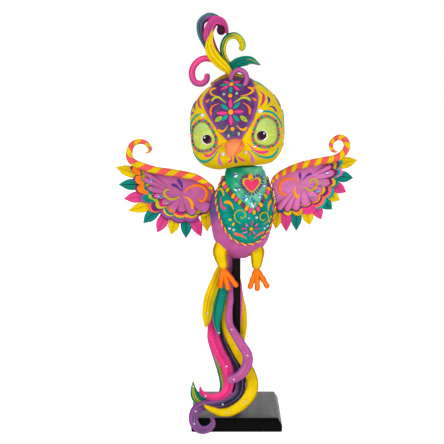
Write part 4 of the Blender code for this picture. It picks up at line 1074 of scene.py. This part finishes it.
form = Form()
patch(form, BIB_OUTLINE, (9, 74), on_torso, [
    *((share, BIB_LIFT, bib_hue) for share in (0.03, 0.15, 0.3, 0.45, 0.6, 0.72, 0.84, 0.94)),
    (1, BIB_LIFT - 0.5, bib_hue), (1, PANEL_LIFT - 0.4, "sea")])
dress("throat_bib", form, "figure", PAINT)

form = Form()
hang = through(BIB_BEADS, 1)
for k, spot in enumerate(hang):
    run = heading(hang, k)
    point, _ = seat(on_torso, spot, BIB_BEAD_LIFT)
    beyond = (Vector((run.y, -run.x)).normalized() + Vector((0, -0.9))).normalized()
    axis = on_torso((spot[0] + beyond.x, spot[1] + beyond.y), BIB_BEAD_LIFT) - point
    hue = BIB_BEAD_PAINTS[min(k, 2 * LOWEST_BEAD - k) % len(BIB_BEAD_PAINTS)]
    bead(form, hue, point, axis, BIB_BEAD_RADIUS, BIB_BEAD_HALF)
dress("bib_beads", form, "figure", BEAD)

form = Form()
outline = [(HEART[0] + x, HEART[1] + z) for x, z in HEART_OUTLINE]
patch(form, outline, HEART, on_torso, [(share, BIB_LIFT + lift, hue) for share, lift, hue in (
    (0.03, 2.4, "heart"), (0.35, 2.3, "heart"), (0.65, 2, "heart"), (0.82, 1.4, "rose"), (0.83, 1.6, "yellow"),
    (0.92, 1.7, "yellow"), (0.99, 1.2, "yellow"), (1, -0.3, "amber"))])
dress("heart_charm", form, "figure", PAINT)

form = Form()
edge = through(outline, 16, closed=True)
gone = 0.0
for k, spot in enumerate(edge):
    run = edge[(k + 1) % len(edge)] - edge[k - 1]
    gone += run.length / 2
    if gone < HEART_RAY_STEP:
        continue
    gone -= HEART_RAY_STEP
    beyond = (spot - Vector(HEART)).normalized() + Vector((-run.y, run.x)).normalized()
    beyond.normalize()
    if abs(spot.x - HEART[0]) > HEART_CLEFT or spot.y < HEART[1]:
        mark(form, "ray", 2.2, LENS, (spot + beyond * 0.2, spot + beyond * 3.4), on_torso, BIB_LIFT, TALL_MARK, 3)
mark(form, "amber", 5.4, FLAME, HEART_FLAME, on_torso, BIB_LIFT + 0.4, rise=1.4)
piece("heart_rays", form, "figure", BRUSHED)

form = Form()
for given in BREAST_STONES:
    stone(form, *given, on_torso, PANEL_LIFT)
for given in BIB_STONES:
    stone(form, *given, on_torso, BIB_LIFT)
piece("torso_stones", form, "figure", STONE, smooth=False)


# Head

HEAD_ROWS = 60
HEAD_SIDES = 88
FOREHEAD_LIFT = 1.8

form = Form()
rows = []
for j in range(1, HEAD_ROWS):
    rise = math.pi * (j / HEAD_ROWS - 0.5)
    row = []
    for turn in turns(HEAD_SIDES):
        way = Vector((math.cos(rise) * math.cos(turn), math.cos(rise) * math.sin(turn), math.sin(rise)))
        point = HEAD @ (way * head_reach(way, 0))
        off = (point - NECK).xy.length
        if way.z < 0:
            inward = clamp((NECK_RECESS_RADIUS - off) / NECK_RECESS_EDGE)
            point.z += NECK_RECESS * inward ** 2 * (3 - 2 * inward)
        if (point - NECK).length < BALL_CUP:
            point.z = NECK.z + math.sqrt(BALL_CUP ** 2 - off ** 2)
        # The head darkens to ochre towards its underside: painted shade under the chin.
        row.append(form.spot(point, mix("yellow", "ochre", clamp(-0.5 - way.z, 0.3))))
    rows.append(row)
form.loft(rows)
dress("head", form, "head", PAINT)


def forehead_hue(spot):
    """Purple with slate patches, going to dark teal low on the left."""
    wave = math.sin(spot[0] * 0.5 + 1.2 * math.sin(spot[1] * 0.16)) * math.sin(spot[1] * 0.21 + 0.5)
    low = clamp((8 - spot[1]) / 16) * (0.75 if spot[0] < 0 else 0.35)
    return mix(mix("purple", "slate", clamp(0.15 + 0.6 * wave, 0.6)), "deep", low * 0.7)


form = Form()
patch(form, FOREHEAD_OUTLINE, (-1, 28), over_head, [
    *((share, FOREHEAD_LIFT, forehead_hue) for share in (0.03, 0.2, 0.35, 0.5, 0.62, 0.74, 0.84)),
    (0.92, FOREHEAD_LIFT, lambda spot: mix(forehead_hue(spot), "mauve", 0.5)), (0.98, FOREHEAD_LIFT, "mauve"),
    (1, FOREHEAD_LIFT - 0.5, "mauve"), (1, -0.2, "plum")])
dress("forehead_panel", form, "head", PAINT)

form = Form()
for given in FACE_MARKS:
    mark(form, *given, over_head, 0, TALL_MARK)
for given in FOREHEAD_MARKS:
    mark(form, *given, over_head, FOREHEAD_LIFT)
for route in PETAL_RIBS:
    mark(form, "green", 0.8, LENS, route, over_head, FOREHEAD_LIFT + 0.5, rise=0.3)
for given in FOREHEAD_FLOWERS:
    flower(form, *given, over_head, FOREHEAD_LIFT)
for x, angle, radius in FOREHEAD_DOTS:
    dome(form, "amber", (x, angle), radius, over_head, FOREHEAD_LIFT)
piece("head_marks", form, "head", BRUSHED)

form = Form()
rosette(form, (0, HEAD_BACK), ("pink", "aqua") * 4, 3.2, 12.5, 4.2, over_head, tall=1.35)
for k in range(16):
    turn = 2 * math.pi * (k + 0.5) / 16
    spot = (15.5 * math.sin(turn), HEAD_BACK + 21 * math.cos(turn))
    dome(form, ("orange", "violet")[k % 2], spot, 1.2, over_head, 0)
for side in (-1, 1):
    for hue, width, taper, route in HEAD_BACK_MARKS:
        mark(form, hue, width, taper, [(side * x, angle) for x, angle in route], over_head, 0, TALL_MARK)
    for given in HEAD_SIDE_MARKS:
        mark(form, *given, lambda spot, lift: HEAD @ edge_of(
            lambda r: Vector((side * r, spot[0], spot[1])), lift), 0, TALL_MARK)
piece("head_back_marks", form, "head", BRUSHED)

form = Form()
for given in FOREHEAD_STONES:
    stone(form, *given, over_head, FOREHEAD_LIFT, facets=PALE_FACETS, point_power=1.8)
for given in FACE_STONES:
    stone(form, *given, over_head, 0, facets=CLEAR_FACETS)
piece("head_stones", form, "head", STONE, smooth=False)


def eye_hue(spot):
    """Leaf green, paler towards the eye's top."""
    return mix(speckle(spot, "leaf", "lime", 0.75), "mist", clamp((spot[1] + 8) / 26, 0.45))


for name, side in (("left", -1), ("right", 1)):
    outline = [(side * x, z) for x, z in EYE_OUTLINE]
    middle = Vector((side * EYE_MIDDLE[0], EYE_MIDDLE[1]))
    form = Form()
    # The plate darkens to green towards its rim: painted shade inside the ring of beads.
    patch(form, outline, middle, on_face, (
        (0.03, 2.3, eye_hue), (0.3, 2.3, eye_hue), (0.55, 2.2, eye_hue), (0.78, 2, eye_hue),
        (0.9, 1.8, mix("leaf", "green", 0.2)), (0.98, 1.5, mix("leaf", "green", 0.4)), (1, 1, "green"),
        (1, -0.3, "green")))
    dress(f"{name}_eye_plate", form, "head", PAINT)

    form = Form()
    ring = [middle + (spot - middle) * EYE_RIM for spot in through(outline, 24, closed=True)]
    lengths = [0.0]
    for a, b in zip(ring, ring[1:] + ring[:1]):
        lengths.append(lengths[-1] + (on_face(b, 1) - on_face(a, 1)).length)
    step = lengths[-1] / EYE_BEADS
    for k in range(EYE_BEADS):
        goal = lengths[-1] * k / EYE_BEADS
        at = max(i for i, length in enumerate(lengths[:-1]) if length <= goal)
        point = on_face(ring[at], EYE_BEAD_LIFT)
        axis = on_face(ring[(at + 2) % len(ring)], EYE_BEAD_LIFT) - on_face(ring[at - 2], EYE_BEAD_LIFT)
        bead(form, EYE_BEAD_PAINTS[k % len(EYE_BEAD_PAINTS)], point, axis, 1.05, step * 0.52)
    dress(f"{name}_eye_beads", form, "head", BEAD)

    form = Form()
    point, normal = seat(on_face, (side * PUPIL[0], PUPIL[1]), 1.6)
    across = HEAD.to_3x3() @ Vector((side, 0, 0))
    bead(form, "white", point + across * 0.5, normal, PUPIL_RADIUS, 2.2)
    bead(form, "plum", point - across * 0.1 + normal * 0.2, normal, PUPIL_RADIUS - 0.35, 2.6)
    bead(form, "iris", point + across * 0.1 + normal * 0.6 + Vector((0, 0, 0.3)), normal, PUPIL_RADIUS - 0.8, 2.5)
    bead(form, "white", point + across * 1.3 + Vector((0, 0, 1.9)) + normal * 2.6, normal, 0.75, 0.6)
    dress(f"{name}_pupil", form, "head", GLOSS)

form = Form()
plume(form, BEAK_ROUTE, BEAK_HEIGHTS, 0, BEAK_PAINTS, across=(1, 0, 0), place=HEAD, groove=0.05, power=1.9,
      deeps=BEAK_WIDTHS)
dress("beak", form, "head", PAINT)


def crest_depth(layer, height):
    """How far a crest layer is behind the head's middle at this height."""
    return layer * (CREST_LAYER + CREST_FAN * (height - CREST_FOOT))


for name, (slot, layer, widths, route, paints, late) in CREST.items():
    form = Form()
    spots = [spot if len(spot) > 2 else (spot[0], crest_depth(layer, spot[1]), spot[1]) for spot in route]
    plume(form, spots, widths, CREST_THICK, paints, place=HEAD, late=late, turn_at=0.62)
    if name == "crest_slate_loop":
        # A dark wine bead at the loop's curled end: painted shade on the tip's underside.
        x, z = CREST_SHADED_END
        bead(form, "wine", HEAD @ Vector((x, crest_depth(CREST_SHADED_END_LAYER, z), z)), HEAD.to_3x3() @ Vector((0, 0, 1)),
             CREST_SHADED_END_RADIUS, CREST_SHADED_END_RADIUS + 0.7)
    dress(name, form, "head", PLUME)


# Wings

PANEL_DEPTH = -3.6  # the panel's front from the shoulder, before its flutes rise
PANEL_BACK = -0.6
FEATHER_BACK = 4.8
FLUTE_RISE = 2.1
FLUTE_POWER = 1.5
PANEL_NOTCH = 0.9
SCALLOP_NOTCH = 0.92
LOBE_STEPS = 14
SEAM = 0.0015  # half the angle between two scallops
SCALLOP_TUCK = 0.8  # how far inside the panel's edge a scallop starts
SCALLOP_LEAST = 4  # least reach of a scallop
SCALLOP_END = 0.4  # least reach at the wing's root
BAND_SECTION = ((0.06, 0.1), (0.3, 0.42), (0.7, 0.42), (0.94, 0.1))  # shares of a band's width and heights
ROLL_SIDES = 24
ROLL_STRIPE = 13  # sides of the roll in its first paint, the others in its second
ROLL_CREASE = 0.1  # depth of the crease between the stripes, as a share of the radius
ROLL_LEAST = 1.2  # least radius that the stripes' pitch follows


def polar(hub, spot):
    """A spot's angle and distance from a hub."""
    reach = Vector((spot[0] - hub[0], spot[1] - hub[1]))
    return math.atan2(reach.y, reach.x), reach.length


def wing_point(wing, across, depth, up):
    """The point at this distance outward, depth and height from the wing's shoulder."""
    return wing["shoulder"] + Vector((wing["side"] * across, depth, up))


def about_hub(wing, angle, distance, depth):
    """The point at this angle and distance about the wing's hub."""
    hub = wing["hub"]
    return wing_point(wing, hub[0] + distance * math.cos(angle), depth, hub[1] + distance * math.sin(angle))


def lobes_of(hub, tips, notch, samples, root=None):
    """A lobed edge about a hub, one list of angle, distance and swell for each lobe.

    root is the last lobe's share at its end.
    """
    places = [polar(hub, tip) for tip in tips]
    angles = [places[0][0]]
    for angle, _ in places[1:]:
        angles.append(angle - 2 * math.pi if angle > angles[-1] else angle)
    reaches = [reach for _, reach in places]
    bounds = [(a + b) / 2 for a, b in zip(angles, angles[1:])]
    bounds = [2 * angles[0] - bounds[0]] + bounds + [2 * angles[-1] - bounds[-1]]
    found = []
    for i, reach in enumerate(reaches):
        beside = [reaches[max(i - 1, 0)], reaches[min(i + 1, len(reaches) - 1)]]
        lobe = []
        for k in range(samples + 1):
            share = k / samples
            low = notch * min(reach, beside[0] if share < 0.5 else beside[1])
            if root and share > 0.5 and i == len(reaches) - 1:
                low = root * reach
            swell = math.sin(math.pi * share) ** 0.6 if 0 < k < samples else 0.0
            lobe.append((bounds[i] + (bounds[i + 1] - bounds[i]) * share, low + (reach - low) * swell, swell))
        found.append(lobe)
    return found


def once_round(hub, lobes, rim):
    """A lobed edge closed along the wing's root and leading edge."""
    edge = [(*spot, False) for lobe in lobes for spot in lobe[:-1]] + [(*lobes[-1][-1], False)]
    for spot in through(rim, 5):
        angle, reach = polar(hub, spot)
        while angle > edge[-1][0]:
            angle -= 2 * math.pi
        edge.append((angle, reach, 0.0, True))
    return edge


def edge_at(edge, angle):
    """The distance and swell of an edge at an angle."""
    while angle > edge[0][0]:
        angle -= 2 * math.pi
    while angle < edge[-1][0]:
        angle += 2 * math.pi
    for a, b in zip(edge, edge[1:]):
        if b[0] <= angle <= a[0] and a[0] > b[0]:
            share = (a[0] - angle) / (a[0] - b[0])
            return a[1] + (b[1] - a[1]) * share, a[2] + (b[2] - a[2]) * share
    return edge[0][1], 0.0


def sheet(form, wing, edge, rows_of, hue):
    """A sheet about the wing's hub.

    Each row gives its share of the reach, its depth and the share of the flutes' rise.
    """
    form.loft([
        [form.spot(about_hub(wing, angle, share * reach, depth - FLUTE_RISE * swell * rise), hue(share, swell, rim))
         for angle, reach, swell, rim in edge]
        for share, depth, rise in rows_of
    ])


def panel_hue(share, swell, rim, base="heather", highlight_paint="lilac"):
    """Plum in the creases between the flutes, painted shade, and the tip's paint on their ends, a painted highlight.
    """
    crease = 0 if rim else (1 - swell) ** 2.5 * clamp(share * 2 - 0.7)
    tip = max(share - 0.75, 0) * 3.2 * swell
    return mix(mix(base, highlight_paint, min(tip, 1)), "plum", crease * 0.9)


def panel_form(wing, edge):
    """The fluted panel."""
    form = Form()
    rows = [(share, PANEL_DEPTH, share ** FLUTE_POWER) for share in (0.04, 0.2, 0.4, 0.55, 0.7, 0.82, 0.92)]
    rows += [(0.975, PANEL_DEPTH + 0.15, 0.92), (1, PANEL_DEPTH + 0.9, 0.7), (1, -1.1, 0.3), (0.97, PANEL_BACK, 0),
             (0.04, PANEL_BACK, 0)]
    sheet(form, wing, edge, rows, lambda *at: panel_hue(*at, wing["base"], wing["tip"]))
    return form


def scallop_form(wing, edge):
    """Scallops, each in bands of paint from the panel's edge outward."""
    form = Form()
    scallops = lobes_of(wing["hub"], wing["scallops"], SCALLOP_NOTCH, LOBE_STEPS)
    for lobe, bands in zip(scallops, wing["bands"]):
        words = bands.split()
        paints, widths = words[::2], [float(word) for word in words[1::2]]
        total = sum(widths)
        levels = [(-0.25, -0.2, paints[0]), (0.0, -0.3, paints[0])]
        done = 0.0
        for hue, width in zip(paints, widths):
            levels += [((done + width * share) / total, -0.1 - rise, hue) for share, rise in BAND_SECTION]
            done += width
        levels += [(share, depth, paints[-1]) for share, depth in ((1, 0.3), (1, 1.3), (0.94, 1.7), (-0.25, 1.7))]
        rows = []
        for share, depth, hue in levels:
            row = []
            for k, (angle, reach, _) in enumerate(lobe):
                angle += SEAM * ((k == LOBE_STEPS) - (k == 0))
                inner = edge_at(edge, angle)[0] - SCALLOP_TUCK
                full = 1 - (k / LOBE_STEPS) ** 2 if lobe is scallops[-1] else 1
                least = SCALLOP_END + (SCALLOP_LEAST - SCALLOP_END) * full
                row.append(form.spot(about_hub(wing, angle, inner + max(reach - inner, least) * share, depth), hue))
            rows.append(row)
        form.loft(rows + rows[:1], ring=False, own=lambda i, k: levels[min(i + 1, len(levels) - 1)][2])
        form.face([row[0] for row in rows], paints[0])
        form.face([row[-1] for row in rows][::-1], paints[0])
    return form


def feather_form(wing):
    """Feathers as blades with a groove down the middle, over a backing sheet."""
    form = Form()
    hub = wing["hub"]
    backing = once_round(hub, lobes_of(hub, wing["scallops"], SCALLOP_NOTCH, 8), wing["rim"])
    rows = [(0.04, 2, 0), (0.5, 2, 0), (0.9, 2, 0), (0.95, 2.4, 0), (0.95, 4.4, 0)]
    rows += [(share, FEATHER_BACK, 0) for share in (0.9, 0.7, 0.5, 0.3, 0.04)]
    sheet(form, wing, backing, rows, panel_hue)
    for k, (root, tip) in enumerate(wing["feathers"]):
        hue, dark = FEATHER_PAINTS[k % len(FEATHER_PAINTS)]
        edge, line = mix(hue, dark, 0.5), mix(hue, dark, 0.35)
        root, tip = Vector(root), Vector(tip)
        way = (tip - root).normalized()
        spots = [root - way * FEATHER_TUCK, root, root.lerp(tip, 0.35), root.lerp(tip, 0.7), tip]
        level = FEATHER_LEVEL + FEATHER_STAGGER * (k % 2)
        plume(form, [wing_point(wing, spot.x, level, spot.y) for spot in spots],
              [FEATHER_WIDTH * share for share in FEATHER_TAPER], FEATHER_THICK,
              (edge, hue, hue, line, hue, dark, hue, line, hue, hue, edge), groove=0.3)
    return form


def roll_form(wing):
    """A tapering tube with its stripes wound round it."""
    form = Form()
    path = through([(wing["side"] * x, ROLL_DEPTH, z) for x, z in wing["roll"]], 8)
    last = len(path) - 1
    back = Vector((0, 1, 0))
    turned = 0.0
    rows = []
    for i, point in enumerate(path):
        radius = ROLL_RADIUS * along(ROLL_TAPER, i / last)
        if i:
            closer = 0.6 + 0.4 * min(4 * i / last, 1)  # tighter near the root
            turned += 2 * math.pi * (point - path[i - 1]).length / (wing["pitch"] * closer * max(radius, ROLL_LEAST))
        out = heading(path, i).normalized().cross(back).normalized()
        row = []
        for k, turn in enumerate(turns(ROLL_SIDES)):
            way = out * math.cos(turn + turned) + back * math.sin(turn + turned)
            reach = radius * (1 - ROLL_CREASE * (k in (0, ROLL_STRIPE)))
            row.append(form.spot(wing["shoulder"] + point + reach * way, "guava"))
        rows.append(row)
    form.loft(rows, own=lambda i, k: "guava" if k < ROLL_STRIPE else "yellow")
    return form


for name, wing in WINGS.items():
    body, hub = f"{name}_wing", wing["hub"]
    edge = once_round(hub, lobes_of(hub, wing["lobes"], PANEL_NOTCH, LOBE_STEPS, root=1), wing["rim"])

    def on_wing(spot, lift):
        """The point on the panel's front at this place outward and up."""
        angle, distance = polar(hub, spot)
        reach, swell = edge_at(edge, angle)
        rise = FLUTE_RISE * swell * min(distance / reach, 1) ** FLUTE_POWER
        return wing_point(wing, spot[0], PANEL_DEPTH - rise - lift, spot[1])

    def behind_wing(spot, lift):
        """The point on the feathers' back at this place outward and up."""
        return wing_point(wing, spot[0], FEATHER_BACK + lift, spot[1])

    dress(f"{body}_panel", panel_form(wing, edge), body, PAINT)
    form = Form()
    for given in wing["marks"]:
        mark(form, *given, on_wing, 0, TALL_MARK)
        mark(form, *given, behind_wing, 0, TALL_MARK)
    piece(f"{body}_marks", form, body, BRUSHED)
    form = Form()
    for given in wing["stones"]:
        stone(form, *given, on_wing, 0, facets=BLUE_FACETS if given[1] > LARGE_STONE else GREEN_FACETS)
    piece(f"{body}_stones", form, body, STONE, smooth=False)
    dress(f"{body}_scallops", scallop_form(wing, edge), body, PAINT)
    dress(f"{body}_feathers", feather_form(wing), body, PLUME)
    dress(f"{body}_roll", roll_form(wing), body, PAINT)


# Legs and tail


for name, (hip, knee, ankle, toes) in LEGS.items():
    form = Form()
    plume(form, from_figure((hip, knee, ankle)), THIGH_WIDTHS, THIGH_DEEP, "ochre yellow yellow yellow ochre",
          groove=0.02, power=2.2)
    dress(f"{name}_leg", form, "figure", PAINT)
    form = Form()
    top = FIGURE + Vector(ankle) + Vector((0, -0.6, -3.6))
    for end in from_figure(toes):
        bend = top.lerp(end, 0.5) + Vector((0, -2.5, 1))
        # The crease paint along both sides of each toe is painted shade.
        plume(form, (top, bend, end), TOE_WIDTHS, 0, "crease toe toe toe toe crease", groove=0.02, steps=10,
              deeps=TOE_WIDTHS)
    dress(f"{name}_foot", form, "figure", PAINT)

form = Form()
plume(form, from_figure(STEM_ROUTE), STEM_WIDTHS, STEM_DEEP, "orchid lilac lilac lilac orchid", groove=0.02)
dress("tail_stem", form, "figure", PAINT)

stones = Form()
for name, (slot, widths, route, paints, late, turn_at, shares) in TAIL.items():
    form = Form()
    plume(form, from_figure(route), widths, PLUME_DEEP, paints, groove=0.08, late=late, turn_at=turn_at)
    dress(name, form, "figure", PLUME)
    path = through(from_figure(route), 12)
    for share in shares:
        front = half_depth(PLUME_DEEP, along(widths, share), widths)
        point = path[round(share * (len(path) - 1))] - Vector((0, front, 0))
        stone(stones, (0, 0), 1.05, 1.05, lambda spot, lift: point + Vector((spot[0], -lift, spot[1])), 0, rise=0.8)
piece("tail_stones", stones, "figure", STONE, smooth=False)


# Bare wood of the wing pegs, and green wood on the neck ball as painted shade under the head


def bare_wood(name, light, dark):
    """Wood with its grain between two paints' colours."""
    made, tree = material(name)
    place = add(tree, "ShaderNodeTexCoord")
    cloud = add(tree, "ShaderNodeTexNoise", {"Scale": 420, "Detail": 4, "Vector": place.outputs["Object"]})
    grain = cloud.outputs["Fac"]
    ramp = add(tree, "ShaderNodeValToRGB", {"Fac": grain})
    for stop, paint, position in zip(ramp.color_ramp.elements, (dark, light), (0.3, 0.7)):
        stop.color = (*linear(paint), 1)
        stop.position = position
    level = add(tree, "ShaderNodeMapRange", {"To Min": 0.5, "To Max": 0.75, "Value": grain})
    bump = add(tree, "ShaderNodeBump", {"Strength": 0.3, "Distance": 0.3 * MM, "Height": grain})
    feed(tree, tree.nodes["Principled BSDF"], {
        "Base Color": ramp.outputs["Color"], "Roughness": level.outputs["Result"], "Normal": bump.outputs["Normal"]})
    return made


TIMBER = bare_wood("turned_wood", "ivory", "ochre")
# The neck ball is sea and deep green: painted shade in the gap between the head and the collar.
NECK_SHADE_WOOD = bare_wood("neck_shade_wood", "sea", "deep")
for name, finish in (("neck_ball", NECK_SHADE_WOOD), ("left_wing_peg", TIMBER), ("right_wing_peg", TIMBER)):
    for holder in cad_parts[name].material_slots:
        holder.material = finish


# Stage

FLOOR_HALF = 6
FLOOR_DROP = 0.0002


def whitened(name, seen_as, lit):
    """A white surface that shows as white to the camera and in reflections."""
    made, tree = material(name)
    tree.nodes.clear()
    path = add(tree, "ShaderNodeLightPath")
    seen = add(tree, "ShaderNodeMath", {0: path.outputs["Is Camera Ray"], 1: path.outputs["Is Glossy Ray"]}, "ADD")
    seen.use_clamp = True
    level = add(tree, "ShaderNodeMath", {0: seen.outputs["Value"], 1: seen_as}, "MULTIPLY")
    soft = add(tree, "ShaderNodeBsdfDiffuse", {"Color": (lit, lit, lit, 1)})
    glow = add(tree, "ShaderNodeEmission", {"Strength": level.outputs["Value"]})
    both = add(tree, "ShaderNodeAddShader", {0: soft.outputs["BSDF"], 1: glow.outputs["Emission"]})
    add(tree, "ShaderNodeOutputMaterial", {"Surface": both.outputs["Shader"]})
    return made


floor_mesh = bpy.data.meshes.new("floor")
floor_mesh.from_pydata(
    [(FLOOR_HALF * x, FLOOR_HALF * y, 0) for x, y in ((-1, -1), (1, -1), (1, 1), (-1, 1))], [], [(0, 1, 2, 3)])
floor_mesh.materials.append(whitened("pale_floor", 0.8, 0.8))
floor = bpy.data.objects.new("floor", floor_mesh)
floor.location.z = -FLOOR_DROP
bpy.context.scene.collection.objects.link(floor)

# A white surround. As light, it is brighter behind the bird than in front of it
world = bpy.data.worlds.new("studio")
bpy.context.scene.world = world
world.use_nodes = True
tree = world.node_tree
path = add(tree, "ShaderNodeLightPath")
place = add(tree, "ShaderNodeTexCoord")
parts = add(tree, "ShaderNodeSeparateXYZ", {"Vector": place.outputs["Generated"]})
depth = add(tree, "ShaderNodeMapRange", {
    "From Min": -0.7, "From Max": 0.5, "To Min": 0.25, "To Max": 0.75, "Value": parts.outputs["Y"]})
seen = add(tree, "ShaderNodeMath", {0: path.outputs["Is Camera Ray"], 1: depth.outputs["Result"]}, "MAXIMUM")
feed(tree, tree.nodes["Background"], {"Color": (1, 1, 1, 1), "Strength": seen.outputs["Value"]})


def lamp(name, place, target, size, power):
    """A square lamp that points at a target."""
    light = bpy.data.lights.new(name, "AREA")
    light.size = size
    light.energy = power
    made = bpy.data.objects.new(name, light)
    made.location = place
    made.rotation_euler = (Vector(target) - Vector(place)).to_track_quat("-Z", "Y").to_euler()
    bpy.context.scene.collection.objects.link(made)


lamp("key", (-0.7, -1.2, 1.1), (0, 0, 0.22), 0.9, 11.5)
lamp("fill", (0.9, -1.1, 0.5), (0, 0, 0.22), 0.9, 7)
lamp("low", (0, -1.2, 0.1), (0, 0, 0.24), 0.7, 3.2)

camera = bpy.data.objects.new("camera", bpy.data.cameras.new("camera"))
camera.location = CAMERA_PLACE
camera.rotation_euler = (math.radians(90 - CAMERA_PITCH), 0, 0)
camera.data.lens = CAMERA_LENS
camera.data.clip_start = 0.01
bpy.context.scene.collection.objects.link(camera)
bpy.context.scene.camera = camera
bpy.context.scene.view_settings.view_transform = "Standard"
